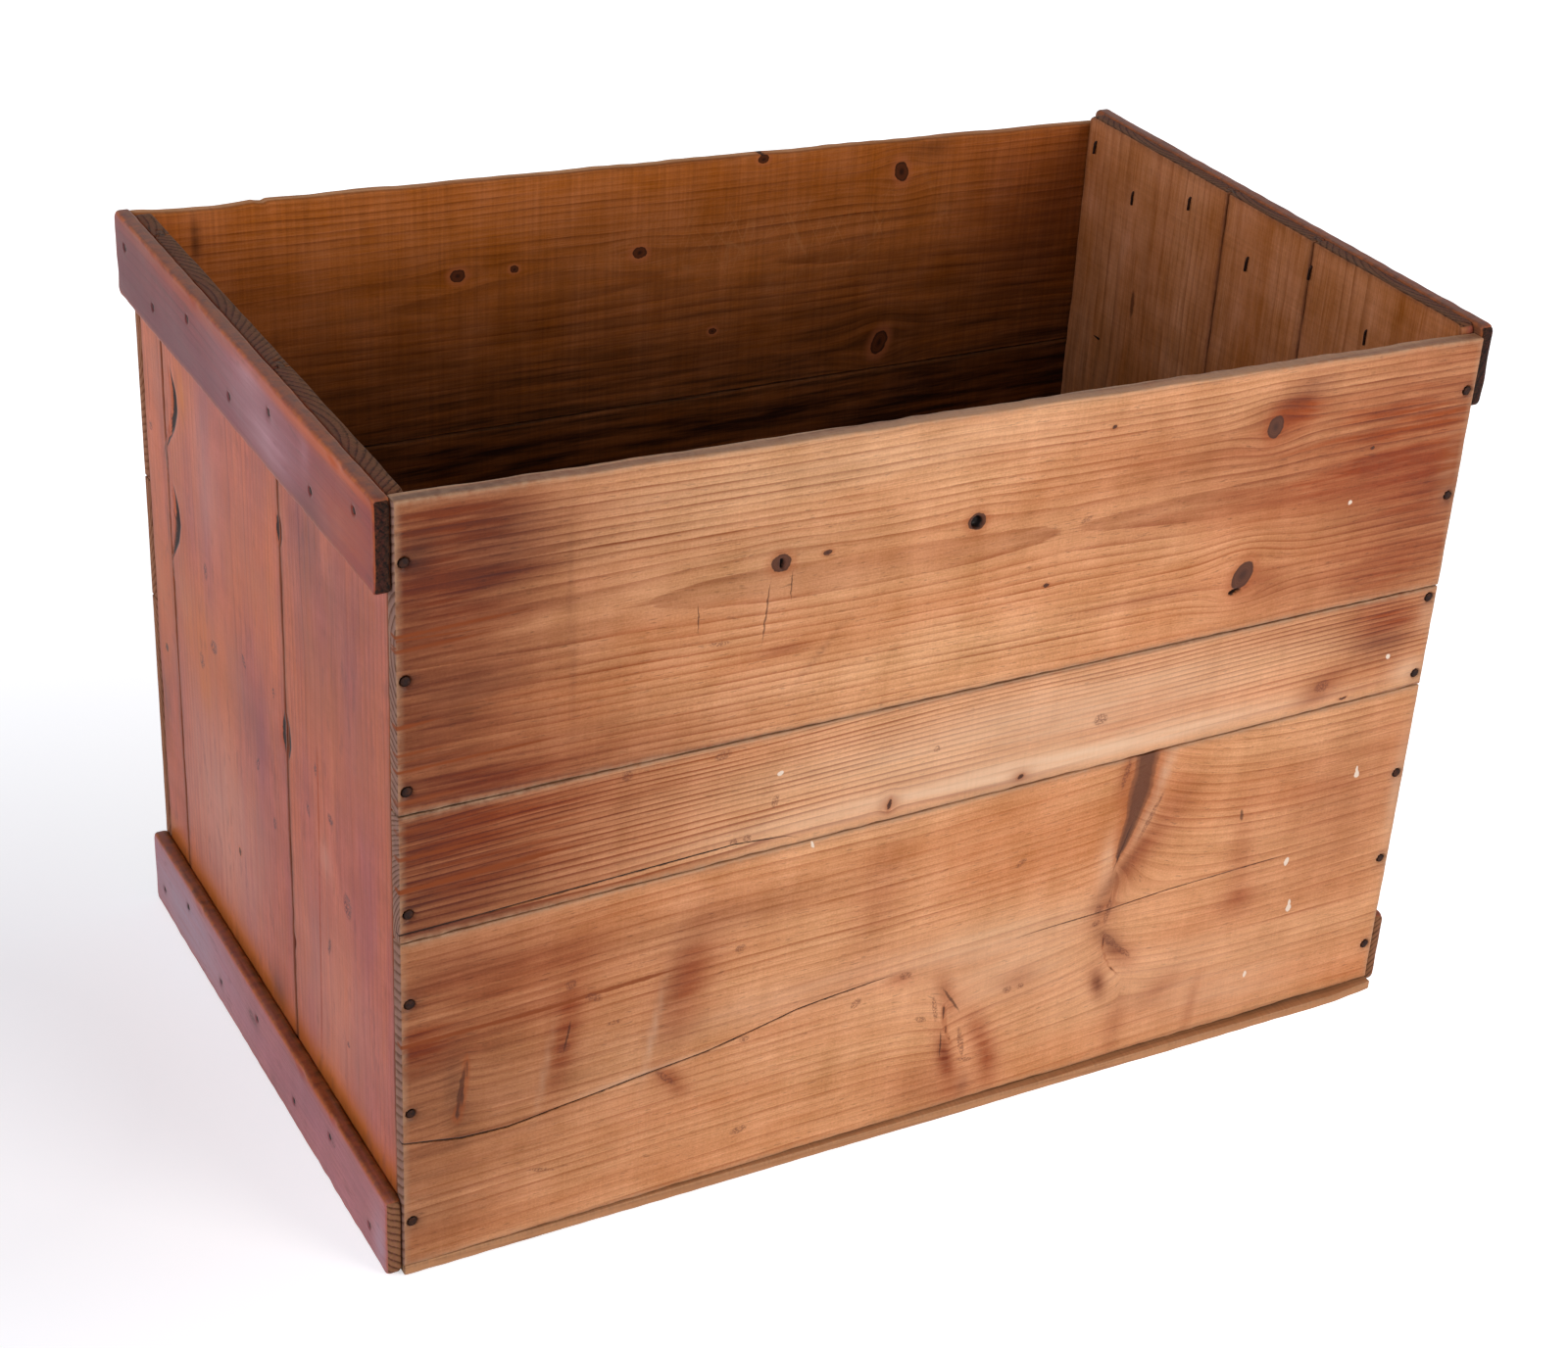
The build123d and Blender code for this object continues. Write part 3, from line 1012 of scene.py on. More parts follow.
            # Long and short waves wear each arris
            wear = self.uneven(number, s, ARRIS_WAVE) + self.uneven(number + 9, s, ARRIS_RIPPLE)
            radius = np.maximum(self.arris + self.arris_wear * 0.5 * wear, 0.35)
            a, b = round_arris(way * (t - edge), n if outer else self.thick - n, radius)
            t, n = edge + way * a, b if outer else self.thick - b
        for end, facing in ((self.start, 1), (self.stop, -1)):
            radius = np.maximum(self.end_round * (1 + 0.15 * self.uneven(21, t, END_WAVE)), 0.3)
            for outer in (True, False):
                a, b = round_arris(facing * (s - end), n if outer else self.thick - n, radius)
                s, n = end + facing * a, b if outer else self.thick - b
            for edge, way, kind in ((low, 1, self.low_edge), (high, -1, self.high_edge)):
                turn = np.maximum(radius, self.corner) if kind is Edge.PLAIN else radius
                a, b = round_arris(facing * (s - end), way * (t - edge), turn)
                s, t = end + facing * a, edge + way * b
        if self.high_wave:
            dip = self.high_wave * np.clip(0.45 + 0.5 * self.uneven(31, p.s, TOP_WAVE), 0, 1.6)
            t = t - np.clip(1 - (high - p.t) / DIP_REACH, 0, 1) ** 2 * dip
        for place, half, deep in self.nicks:
            near = np.clip(1 - (high - p.t) / NICK_REACH, 0, 1)
            t = t - near * deep * smooth(half, half * 0.3, np.abs(p.s - place))
        outer = np.clip(1 - 2 * n / self.thick, 0, 1)
        inner = np.clip(2 * n / self.thick - 1, 0, 1)
        sway = np.maximum(self.sway * (1 + waves(self.seed + 41, p.s, p.t, (90, 45))) / 2, 0)
        return s, t, n + outer * (sway + self.sink(p.s, p.t)) - inner * sway

    def sink(self, s: Array, t: Array) -> Array:
        """How far dents, cracks and driven nails press the outer face in.

        Args:
            s: places along the board.
            t: places across the board.

        Returns:
            Depths in mm at each place.
        """
        sink = np.zeros(s.shape)
        for dent in self.dents:
            sink += dent.depth * smooth(1.0, 0.2, local(dent.place, dent.size, dent.tilt, s, t))
        for crack in self.cracks:
            away = np.abs(t - crack.at(s))
            sink += crack.depth * np.clip(1 - away / (crack.half * 1.6), 0, 1) * crack.tips(s)
        for hole in self.holes:
            away = local(hole.place, hole.size, hole.tilt, s, t)
            sink = np.maximum(sink, HOLE_DEPTH * smooth(1.15, 0.6, away))
        for place in self.nails:
            away = np.hypot(s - place[0], t - place[1])
            seat = smooth(self.nail_radius + 0.45, self.nail_radius - 0.2, away)
            sink = np.maximum(sink, NAIL_SEAT * seat)
        return sink

    def fields(self, p: Points) -> dict[str, Array]:
        """Works out the grain, the marks and the wear of the board.

        Args:
            p: places on the board's surface.

        Returns:
            Attribute values by name.
        """
        bent, spike = self.bends(p)
        return {
            # The rings are counted from 200 so that none is below zero
            "grain": self.grain.radius(p.s, bent, p.n) / self.grain.ring + 200,
            "spike": spike,
            # Each board reads the noises at a place of its own
            "lay": np.stack([p.s, bent, p.n], axis=-1) + self.seed * 137.0,
            "stain": self.stain(p),
            "crack": self.nearest(p, self.cracks),
            "streak": self.nearest(p, self.streaks),
            "wear": self.wear(p),
        }

    def inside(self, p: Points) -> Array:
        """How far each place belongs to the inner face, 0 to 1."""
        return smooth(0.45, 0.75, p.n / self.thick)

    def wear(self, p: Points) -> Array:
        """Finds what is arris, end grain and inner face.

        Args:
            p: places on the board's surface.

        Returns:
            Edge wear, end grain and inner face, each 0 to 1, at each place.
        """
        a = np.minimum(p.t - p.low, p.high - p.t)
        b = np.minimum(p.n, self.thick - p.n)
        e = np.minimum(p.s - self.start, self.stop - p.s)
        nearest = np.sort(np.stack([a, b, e]), axis=0)[:2].sum(axis=0)
        worn = np.clip(1 - nearest / self.wear_reach, 0, 1) ** 1.5
        edge = np.clip(1 - np.maximum(a, 0) / 1.5, 0, 1) * 0.5
        return np.stack([np.maximum(worn, edge), smooth(0.6, 0.0, e), self.inside(p)], axis=-1)

    def bends(self, p: Points) -> tuple[Array, Array]:
        """Bends the rings around branches and knots.

        Args:
            p: places on the board's surface.

        Returns:
            Places across as the rings see them, and distances from branches in their half widths.
        """
        s, t = p.s, p.t
        bent, spike = t.copy(), np.full(s.shape, FAR)
        for branch in self.spikes:
            (s0, t0), (s1, t1) = branch.start, branch.end
            # It bows and tapers more towards its end
            share = np.clip((t - t0) / (t1 - t0), 0, 1) ** 2
            side = s - (s0 + share * (s1 - s0))
            half = branch.width[0] + share * (branch.width[1] - branch.width[0])
            half = half * (1 + 0.1 * waves(self.seed + 5, t, side, (30, 60)))
            past = np.maximum(np.maximum(min(t0, t1) - t, t - max(t0, t1)), 0)
            spike = np.minimum(spike, np.hypot(side / half, past / (2 * branch.width[1])))
            gate = smooth(abs(t1 - t0) * 0.35 + 12, 0, past)
            rise, reach = (np.where(side > 0, pair[1], pair[0]) for pair in (branch.rise, branch.reach))
            bent = bent - gate * rise * np.exp(-np.abs(side) / reach)
        for spot in self.spots:
            if spot.mark in (Mark.KNOT, Mark.HOLE):
                size = (spot.size[0] * KNOT_REACH[0], spot.size[1] * KNOT_REACH[1])
                push = spot.push * np.exp(-(local(spot.place, size, 0, s, t) ** 2))
                bent = bent - push * (t - spot.place[1])
        return bent + self.grain.wobble * waves(self.seed + 2, s, t, (260, 120)), spike

    def stain(self, p: Points) -> Array:
        """Adds up the board's stains, the grime of its joints, and the dust and painted shade of the box's
        inside, darker towards its bottom.

        Args:
            p: places on the board's surface.

        Returns:
            The strength of each tint, 0 to 1, at each place.
        """
        s, t, _, low, high = p
        inside = self.inside(p)
        stain = np.zeros((4, len(s)))
        for patch in self.stains:
            near = np.exp(-(local(patch.place, patch.size, patch.tilt, s, t) ** 2))
            shown = inside if self.stained_inside else 1 - inside
            stain[patch.tint.value] += patch.strength * near * shown
        for place in self.nails:
            away = np.hypot(s - place[0], t - place[1])
            stain[Tint.DARK.value] += 0.5 * np.exp(-((away / (self.nail_radius + 2.0)) ** 2))
        grime = stain[Tint.GRIME_AND_SHADE.value]
        top, below, reach = self.inner_grime
        along, across, _, _ = self.lay.value
        height = {along: s, across: t}.get(2, 0.0)
        depth = np.clip((RIM - height) / reach, 0, 1) ** 0.8
        clear = np.clip(np.minimum(t - low, high - t) / self.grime_gap, 0, 1)
        # Painted shade: the inner face darkens towards the bottom of the box, fading in away from the
        # board's edges
        grime += inside * clear * (top + (below - top) * depth)
        for edge, amount in zip((t - low, high - t), self.joint_grime):
            grime += amount * np.exp(-(np.maximum(edge, 0) ** 2))
        grime += self.top_dust * smooth(0.9, 0.1, high - t)
        return np.clip(stain, 0, 1).T

    def nearest(self, p: Points, lines: tuple[Line, ...]) -> Array:
        """Finds the nearest of some lines.

        Args:
            p: places on the board's surface.
            lines: the board's cracks or its streaks.

        Returns:
            Distance in mm, half width and strength of the nearest line at each place.
        """
        best = np.zeros((len(p.s), 3))
        best[:, 0] = NO_LINE
        for line in lines:
            away = p.t - line.at(p.s)
            half = line.half * line.tips(p.s) * (np.abs(away) < LINE_REACH)
            found = np.stack([away, half, np.where(half > 0, line.strength, 0)], axis=-1)
            best = np.where((np.abs(away) < np.abs(best[:, 0]))[:, None], found, best)
        best[:, 1] *= 1 - self.inside(p)
        return best

    @staticmethod
    def quads(shape: tuple[int, int, int], filled: Array) -> Array:
        """Faces of the grid's outside.

        Args:
            shape: how many places the grid has along, across and deep.
            filled: which cells of the section hold wood.

        Returns:
            Corner indices of each face, turned outwards for right-handed axes.
        """
        index = np.arange(math.prod(shape)).reshape(shape)
        padded = np.pad(filled, 1)
        found = []
        for axis, (first, second) in enumerate(
            ((padded[:-1, 1:-1], padded[1:, 1:-1]), (padded[1:-1, :-1], padded[1:-1, 1:]))
        ):
            for j, k in np.argwhere(first != second):
                low = index[:, j, k]
                high = index[:, j, k + 1] if axis == 0 else index[:, j + 1, k]
                quad = np.stack([low[:-1], high[:-1], high[1:], low[1:]], axis=-1)
                keep = (first if axis == 0 else second)[j, k]
                found.append(quad if keep else quad[:, ::-1])
        for j, k in np.argwhere(filled):
            for i, turn in ((0, 1), (-1, -1)):
                ring = index[i, [j, j, j + 1, j + 1], [k, k + 1, k + 1, k]]
                found.append(ring[None, ::turn])
        return np.concatenate(found)


@dataclass(frozen=True)
class Nail:
    """Sizes of a wire nail in mm. A clinched nail has its point bent over at the tail's depth."""

    head: float
    thick: float
    shank: float
    length: float
    tail_depth: float = 0.0
    tail_length: float = 9.5


WALL_NAIL = Nail(head=3.05, thick=1.2, shank=1.4, length=48.0)
CLEAT_NAIL = Nail(head=2.0, thick=0.8, shank=0.85, length=18.0, tail_depth=19.4)
FLOOR_NAIL = Nail(head=2.75, thick=1.0, shank=1.2, length=26.0)


@dataclass
class NailRow:
    """One row of nails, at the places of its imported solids."""

    node: str
    outward: tuple[int, int, int]
    nail: Nail
    seed: int
    tail: tuple[int, int, int] | None = None

    def places(self, frame_nodes: dict[str, bpy.types.Object]) -> Array:
        """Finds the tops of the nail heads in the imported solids.

        Args:
            frame_nodes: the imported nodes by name.

        Returns:
            One place in mm for each nail.
        """
        co = vertices(frame_nodes[self.node].data)
        out = co @ np.array(self.outward, float)
        top = co[out > out.max() - 0.1]
        row = int(np.argmax(np.ptp(top, axis=0)))
        top = top[np.argsort(top[:, row])]
        # Heads of one row stand more than 4 mm apart
        groups = np.split(top, np.where(np.diff(top[:, row]) > 4)[0] + 1)
        return np.array([(g.min(0) + g.max(0)) / 2 for g in groups])

    def build(self, places: Array, material: bpy.types.Material) -> bpy.types.Object:
        """Sets a nail at each place with Geometry Nodes and makes the row a plain mesh.

        Args:
            places: the tops of the heads in mm.
            material: the nails' iron.

        Returns:
            The row's object.
        """
        points = bpy.data.meshes.new(f"{self.node}_places")
        points.from_pydata((places * MM).tolist(), [], [])
        holder = bpy.data.objects.new(f"{self.node}_holder", points)
        bpy.context.scene.collection.objects.link(holder)
        modifier = holder.modifiers.new("nails", "NODES")
        modifier.node_group = self.tree(material)
        out = Vector(self.outward)
        tail = Vector(self.tail) if self.tail else out.orthogonal()
        turn = Matrix((tail, out.cross(tail), out)).transposed().to_euler()
        values = {
            "Head radius": self.nail.head * MM,
            "Head thickness": self.nail.thick * MM,
            "Shank radius": self.nail.shank * MM,
            "Shank length": self.nail.length * MM,
            "Turn": tuple(turn),
            "Seed": self.seed,
        }
        for item in modifier.node_group.interface.items_tree:
            if item.in_out == "INPUT" and item.name in values:
                modifier[item.identifier] = values[item.name]
        bpy.context.view_layer.update()
        graph = bpy.context.evaluated_depsgraph_get()
        mesh = bpy.data.meshes.new_from_object(holder.evaluated_get(graph))
        holder.modifiers.remove(modifier)
        bpy.data.objects.remove(holder)
        bpy.data.meshes.remove(points)
        return place_piece(self.node, mesh)

    def tree(self, material: bpy.types.Material) -> bpy.types.NodeTree:
        """Builds the node tree that forges a nail and sets it at every point.

        Args:
            material: the nails' iron.

        Returns:
            The geometry node tree.
        """
        tree = bpy.data.node_groups.new(f"nail_row_{self.node}", "GeometryNodeTree")
        tree.interface.new_socket("Geometry", in_out="OUTPUT", socket_type="NodeSocketGeometry")
        lengths = ("Head radius", "Head thickness", "Shank radius", "Shank length")
        kinds = {"Geometry": "Geometry", **dict.fromkeys(lengths, "Float"), "Turn": "Vector", "Seed": "Int"}
        for name, kind in kinds.items():
            tree.interface.new_socket(name, in_out="INPUT", socket_type=f"NodeSocket{kind}")
        n = Nodes(tree)
        given = n.add("NodeGroupInput").node.outputs
        nail = n.add("GeometryNodeJoinGeometry", [self.head(n, given)])
        tree.links.new(self.wire(n, given), nail.node.inputs[0])
        # No two nails lean alike or have heads of the same size
        tilt, size = (
            n.add(
                "FunctionNodeRandomValue",
                {0: low, 1: high, "Seed": given["Seed"]},
                data_type="FLOAT_VECTOR",
            )
            for low, high in (
                ((-0.06, -0.06, 0.0), (0.06, 0.06, 0.0)),
                ((0.82, 0.78, 1.0), (1.05, 1.0, 1.0)),
            )
        )
        turn = n.add("FunctionNodeRotateEuler", [given["Turn"], tilt], space="LOCAL")
        row = n.add(
            "GeometryNodeInstanceOnPoints",
            {"Points": given[0], "Instance": nail, "Rotation": turn, "Scale": size},
        )
        row = n.add("GeometryNodeRealizeInstances", {"Geometry": row})
        # The iron is uneven by a sixth of a millimetre
        bump = n.add(NOISE, {"Scale": 620.0, "Detail": 2.0}, out=1)
        bump = n.add(SHIFT, [bump, (0.5, 0.5, 0.5)])
        bump = n.add(SCALE, {0: bump, "Scale": 0.35 * MM})
        row = n.add("GeometryNodeSetPosition", {"Geometry": row, "Offset": bump})
        row = n.add("GeometryNodeSetShadeSmooth", {"Geometry": row})
        row = n.add("GeometryNodeSetMaterial", {"Geometry": row, "Material": material})
        n.add("NodeGroupOutput", [row])
        return tree

    @staticmethod
    def head(n: Nodes, given: bpy.types.NodeOutputs) -> Socket:
        """Forges the nail's head, its rim hammered down a little below its middle.

        Args:
            n: the tree's nodes.
            given: the tree's inputs.

        Returns:
            The head's geometry, with its top at the point.
        """
        radius, thick = given["Head radius"], given["Head thickness"]
        head = n.add(
            "GeometryNodeMeshCylinder",
            {"Vertices": 18, "Side Segments": 2, "Fill Segments": 3, "Radius": radius, "Depth": thick},
            fill_type="TRIANGLE_FAN",
        )
        spot = n.add("GeometryNodeInputPosition")
        flat = n.add(STRETCH, [spot, (1, 1, 0)])
        away = n.add(LENGTH, [flat], out=1)
        drop = n.add(MATH, [away, radius], operation="DIVIDE")
        drop = n.add(MATH, [drop, 3.0], operation="POWER")
        for factor in (thick, -0.3):
            drop = n.add(MULTIPLY, [drop, factor])
        height = n.add("ShaderNodeSeparateXYZ", [spot], out=2)
        upper = n.add("FunctionNodeCompare", [height, 0.0], data_type="FLOAT", operation="GREATER_THAN")
        fall = n.add("ShaderNodeCombineXYZ", {2: drop})
        head = n.add("GeometryNodeSetPosition", {"Geometry": head, "Selection": upper, "Offset": fall})
        half = n.add(MULTIPLY, [thick, -0.5])
        seat = n.add("ShaderNodeCombineXYZ", {2: half})
        return n.add("GeometryNodeTransform", {"Geometry": head, "Translation": seat})

    def wire(self, n: Nodes, given: bpy.types.NodeOutputs) -> Socket:
        """Draws the nail's shank, with its bent-over point where it has one.

        Args:
            n: the tree's nodes.
            given: the tree's inputs.

        Returns:
            The shank's geometry, running down from the head's top.
        """
        foot = n.add(MULTIPLY, [given["Shank length"], -1.0])
        end = n.add("ShaderNodeCombineXYZ", {2: foot})
        start = (0.0, 0.0, -0.5 * self.nail.thick * MM)
        line = n.add("GeometryNodeCurvePrimitiveLine", {"Start": start, "End": end})
        ring = n.add(
            "GeometryNodeCurvePrimitiveCircle", {"Resolution": 10, "Radius": given["Shank radius"]}
        )
        shank = n.add(
            "GeometryNodeCurveToMesh", {"Curve": line, "Profile Curve": ring, "Fill Caps": not self.tail}
        )
        if not self.tail:
            return shank
        deep, out = -self.nail.tail_depth * MM, self.nail.tail_length * MM
        corner, lead, point = (
            n.add("ShaderNodeCombineXYZ", {0: share * out, 2: deep}) for share in (0.0, 0.2, 1.0)
        )
        bend = n.add(
            "GeometryNodeCurvePrimitiveBezierSegment",
            {"Resolution": 14, "Start": end, "Start Handle": corner, "End Handle": lead, "End": point},
        )
        bent = n.add("GeometryNodeCurveToMesh", {"Curve": bend, "Profile Curve": ring, "Fill Caps": True})
        both = n.add("GeometryNodeJoinGeometry", [shank])
        n.tree.links.new(bent, both.node.inputs[0])
        return n.add("GeometryNodeMergeByDistance", {"Geometry": both, "Distance": 0.02 * MM})


@dataclass(frozen=True)
class IronFinish:
    """Old iron wire: near-black oxide with a little rust, rubbed brighter where hands pass."""

    name: str = "oxidised_iron"
    oxide: str = "#2b201e"
    rust: str = "#4a2c1f"
    bright: str = "#54463f"
    rough: float = 0.65

    def material(self) -> bpy.types.Material:
        """Makes the iron.

        Returns:
            The finished material.
        """
        material = bpy.data.materials.new(self.name)
        material.use_nodes = True
        n = Nodes(material.node_tree)
        place = n.add("ShaderNodeTexCoord", out=3)
        # Rust gathers in patches 2 mm wide, scale pits are half a millimetre
        rust = n.add(NOISE, {"Vector": place, "Scale": 1 / (2 * MM), "Detail": 3.0})
        pits = n.add(NOISE, {"Vector": place, "Scale": 1 / (0.5 * MM), "Detail": 2.0})
        share = n.add(RANGE, [rust, 0.45, 0.7, 0.0, 0.8])
        colour = n.add(MIX, {0: share, 6: linear(self.oxide), 7: linear(self.rust)}, **COLOURS)
        share = n.add(RANGE, [pits, 0.55, 0.8, 0.0, 0.5])
        colour = n.add(MIX, {0: share, 6: colour, 7: linear(self.bright)}, **COLOURS)
        rough = n.add(MULTIPLY_ADD, [pits, 0.3, self.rough - 0.15])
        bump = n.add("ShaderNodeBump", {"Strength": 0.5, "Distance": 0.2 * MM, "Height": pits})
        shader = n.add(
            PRINCIPLED, {"Base Color": colour, "Metallic": 1.0, "Roughness": rough, "Normal": bump}
        )
        n.add("ShaderNodeOutputMaterial", {"Surface": shader})
        return material


# Front: pine aged to honey under thin worn varnish, so it is satin, with clear rings and warm fibres
HONEY_PINE = WoodFinish(
    name="honey_pine",
    early="#dfa576",
    late="#8e461a",
    tone="#bd6b36",
    end="#5c3a2b",
    end_early="#89675a",
    worn="#b08a6c",
    red="#93410f",
    dark="#5c2c1f",
    grime="#3a1606",
    resin="#7d380e",
    knot_edge="#5e3420",
    contrast=1.15,
    tone_share=0.6,
    broad=0.6,
    pores=0.4,
    fibre=0.6,
    blotch=0.6,
    grit=0.45,
    scratch=0.0,
    bruise=0.6,
    ior=1.28,
)
# Back: like the front outside, bare inside, darker there with age, and with dust and painted shade deeper
# in the box, with saw marks across it
BARE_PINE = WoodFinish(
    name="bare_pine",
    early="#dfa576",
    late="#8e461a",
    tone="#bd6b36",
    inner=("#b5672e", "#7c3e14", "#98501a"),
    red="#ab603d",
    end="#7c4a34",
    end_early="#9c6a50",
    worn="#86603f",
    dark="#492f27",
    pale="#cf9560",
    knot="#1e0b04",
    knot_edge="#5c2c12",
    rough=0.75,
    ior=1.2,
    grime="#281300",
    broad=0.6,
    worn_share=0.12,
    inner_scratch=0.1,
)
# Ends: pine stained red-brown and varnished, with faint grain and a shine of the pale ground. Bare inside
STAINED_PINE = WoodFinish(
    name="stained_pine",
    early="#bc5f3a",
    late="#883b20",
    tone="#984949",
    end="#1c0f09",
    end_early="#563a28",
    worn="#7a472e",
    red="#c0662a",
    dark="#40282c",
    pale="#cb8d78",
    grime="#1d0801",
    inner=("#cd8556", "#985931", "#b96d3a"),
    contrast=0.7,
    tone_share=0.9,
    bruise=0.75,
    scuff=0.22,
    scratch=0.0,
    inner_saw=0.12,
    inner_scratch=0.06,
    fibre=0.7,
    painted_satin_sheen=0.3,
    blotch=0.8,
    rough=0.45,
    ior=1.22,
)
# Cleats: the same stain, darker, rubbed through to orange along the arrises
DARK_PINE = WoodFinish(
    name="dark_stained_pine",
    early="#7b2c29",
    late="#571e1b",
    tone="#602332",
    end="#0c0605",
    end_early="#26160f",
    worn="#bd6430",
    red="#ac4a1e",
    pale="#a87278",
    grime="#55403c",
    inner=("#7f5136", "#5f3a26", "#704530"),
    contrast=0.6,
    tone_share=0.7,
    bruise=0.6,
    scuff=0.25,
    scratch=0.0,
    fibre=0.6,
    painted_satin_sheen=0.3,
    blotch=0.7,
    end_share=1.0,
    rough=0.45,
    ior=1.22,
)
# Lower cleats: the same, less worn by hands, with bare brown ends; painted lighter and more lilac than the
# upper cleats, as painted light from below
LOW_PINE = replace(
    DARK_PINE,
    name="lower_cleat_pine_painted_lighter",
    early="#ac6662",
    late="#8a4c48",
    tone="#995964",
    end="#573622",
    end_early="#875d40",
    grime="#4a352c",
    pale="#a58b97",
)
# Floor: thin unfinished pine, darkened inside by dust and painted shade
FLOOR_PINE = WoodFinish(
    name="floor_pine",
    early="#b98357",
    late="#8c5a36",
    tone="#a36b3f",
    end="#6b4a33",
    end_early="#8e6849",
    worn="#a87a55",
    rough=0.65,
)


# How far, in mm, the top of a nail head may lie above and below the face it sits in
HEAD_ABOVE, HEAD_BELOW = 0.5, 1.5


@dataclass
class Wall:
    """Boards that stand together as one side of the box, and what they share."""

    lay: Lay
    slot: str
    finish: WoodFinish

    def boards(self) -> list[Board]:
        """The wall's boards. Each kind of wall sets out its own."""
        raise NotImplementedError

    def board(self, node: str, grain: Grain, seed: int, **own: object) -> Board:
        """Cuts a board of this wall from its node, its grain, its fixed seed and its other fields."""
        return Board(node, self.lay, self.slot, self.finish, grain, seed, **own)

    def make(self, frame_nodes: dict[str, bpy.types.Object], heads: list[Array]) -> None:
        """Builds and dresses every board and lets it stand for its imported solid.

        Args:
            frame_nodes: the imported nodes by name.
            heads: places of nail heads in mm, row by row.
        """
        for board in self.boards():
            board.outline(frame_nodes)
            board.nails = self.heads_on(board, heads)
            piece = board.build()
            piece.data.materials.append(board.finish.dress(board))
            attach(piece, "root")
            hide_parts(board.node)
            LOG.info("%s: %d faces, %d nails", piece.name, len(piece.data.polygons), len(board.nails))

    @staticmethod
    def heads_on(board: Board, heads: list[Array]) -> list[Place]:
        """Picks the nail heads that sit in a board's outer face.

        Args:
            board: the board, with its outline read.
            heads: places of nail heads in mm, row by row.

        Returns:
            Places along and across the board.
        """
        along, across, depth, way = board.lay.value
        found = []
        for place in np.concatenate(heads):
            s, t, n = place[along], place[across], way * place[depth] - board.face
            low, high = board.edges(s)
            if board.start < s < board.stop and low < t < high and -HEAD_ABOVE < n < HEAD_BELOW:
                found.append((float(s), float(t)))
        return found


# Marks on the front's boards, in mm along the box and above its underside
FRONT_TOP_SPOTS = Spot.rows({
    Mark.KNOT: [
        (-122, 395, 5.4, 4.8, 0, 0.3), (-95, 396, 2.6, 1.3, 6), (-5, 397, 5.0, 4.6, 0, 0.3),
        (187, 420, 4.8, 6.4, -12), (179, 329, 6, 8.6, -30), (77, 438, 1.4, 1.1), (44, 349, 1.8, 1.1),
        (260, 395, 1.3, 1.0),
    ],
    Mark.HOLE: [(-121.5, 394.5, 1.3, 3, 4, 0.0), (-5, 396.5, 3.4, 3.8, 0, 0.2), (175, 319, 4.2, 1.8, 8)],
    Mark.PAINT: [(129, 291.5, 1.6, 1.6), (250, 362, 1.5, 1.5)],
    Mark.CHECK: [(-129, 368, 0.5, 17, -5), (-115, 381, 0.5, 8, 0), (-168, 372, 0.4, 8, 2)],
    Mark.BRUISE: [(-155, 355, 6, 1.4, -6), (66, 385, 4, 1.3, 20)],
})
FRONT_TOP_STAINS = Stain.rows({
    Tint.DARK: [
        (-278, 434, 30, 24, 0.55), (-318, 436, 9, 12, 0.5), (-290, 358, 28, 12, 0.25),
        (-238, 380, 1.4, 60, 0.25, 2), (206, 437, 18, 8, 0.4, 20), (-95, 338, 1.6, 22, 0.3, -40),
    ],
    Tint.RED: [
        (-290, 440, 60, 40, 0.4), (198, 430, 22, 14, 0.6, 20), (190, 322, 22, 12, 0.4),
        (300, 320, 85, 40, 0.5), (305, 400, 90, 70, 0.75), (175, 400, 120, 40, 0.5),
        (255, 293, 100, 24, 0.3), (-240, 298, 110, 26, 0.45), (200, 377, 150, 9, 0.25),
        (110, 327, 45, 3, 0.55), (-72, 382.5, 95, 8, 0.3), (-320, 380, 95, 150, 0.75),
        (-118, 344, 16, 3, 0.6),
    ],
    Tint.GRIME_AND_SHADE: [
        (-160, 415, 120, 75, 0.17), (-250, 298, 110, 26, 0.2), (335, 380, 60, 110, 0.15),
        (-126, 400, 50, 20, 0.08), (-345, 380, 85, 160, 0.5),
    ],
    Tint.PALE: [(322, 372, 9, 26, 0.6), (-40, 445, 150, 14, 0.15)],
})
FRONT_MIDDLE_SPOTS = Spot.rows({
    Mark.KNOT: [(-45, 231, 1.0, 3, -10), (41, 228, 1.8, 1.2, 20), (270, 228, 2.6, 0.8, 4)],
    Mark.BRUISE: [
        (252, 240, 5, 4, 20), (-150, 287, 5, 2.5, 10), (-205, 288, 3, 3), (-17, 260, 2, 2),
        (-141, 231, 2.5, 2.2), (-133, 231.5, 2.5, 2.2), (92, 254, 4.5, 3.5), (-117, 251, 2, 4, -15),
    ],
    Mark.PAINT: [(-115, 268, 1.8, 1.5), (300, 250, 1.6, 1.8)],
})
FRONT_MIDDLE_STAINS = Stain.rows({
    Tint.PALE: [
        (60, 233, 190, 8, 0.75), (60, 262, 170, 24, 0.5), (318, 238, 14, 10, 0.5), (324, 276, 6, 12, 0.5),
    ],
    Tint.RED: [
        (-235, 280, 110, 24, 0.35), (-210, 245, 70, 30, 0.25), (255, 288, 100, 18, 0.35),
        (296, 272, 36, 26, 0.75), (-320, 255, 95, 100, 0.8), (-45, 231, 7, 6, 0.6), (41, 229, 8, 5, 0.5),
        (252, 239, 16, 9, 0.7, 25),
    ],
    Tint.DARK: [(292, 262, 22, 10, 0.35)],
    Tint.GRIME_AND_SHADE: [(-345, 255, 95, 100, 0.55)],
})
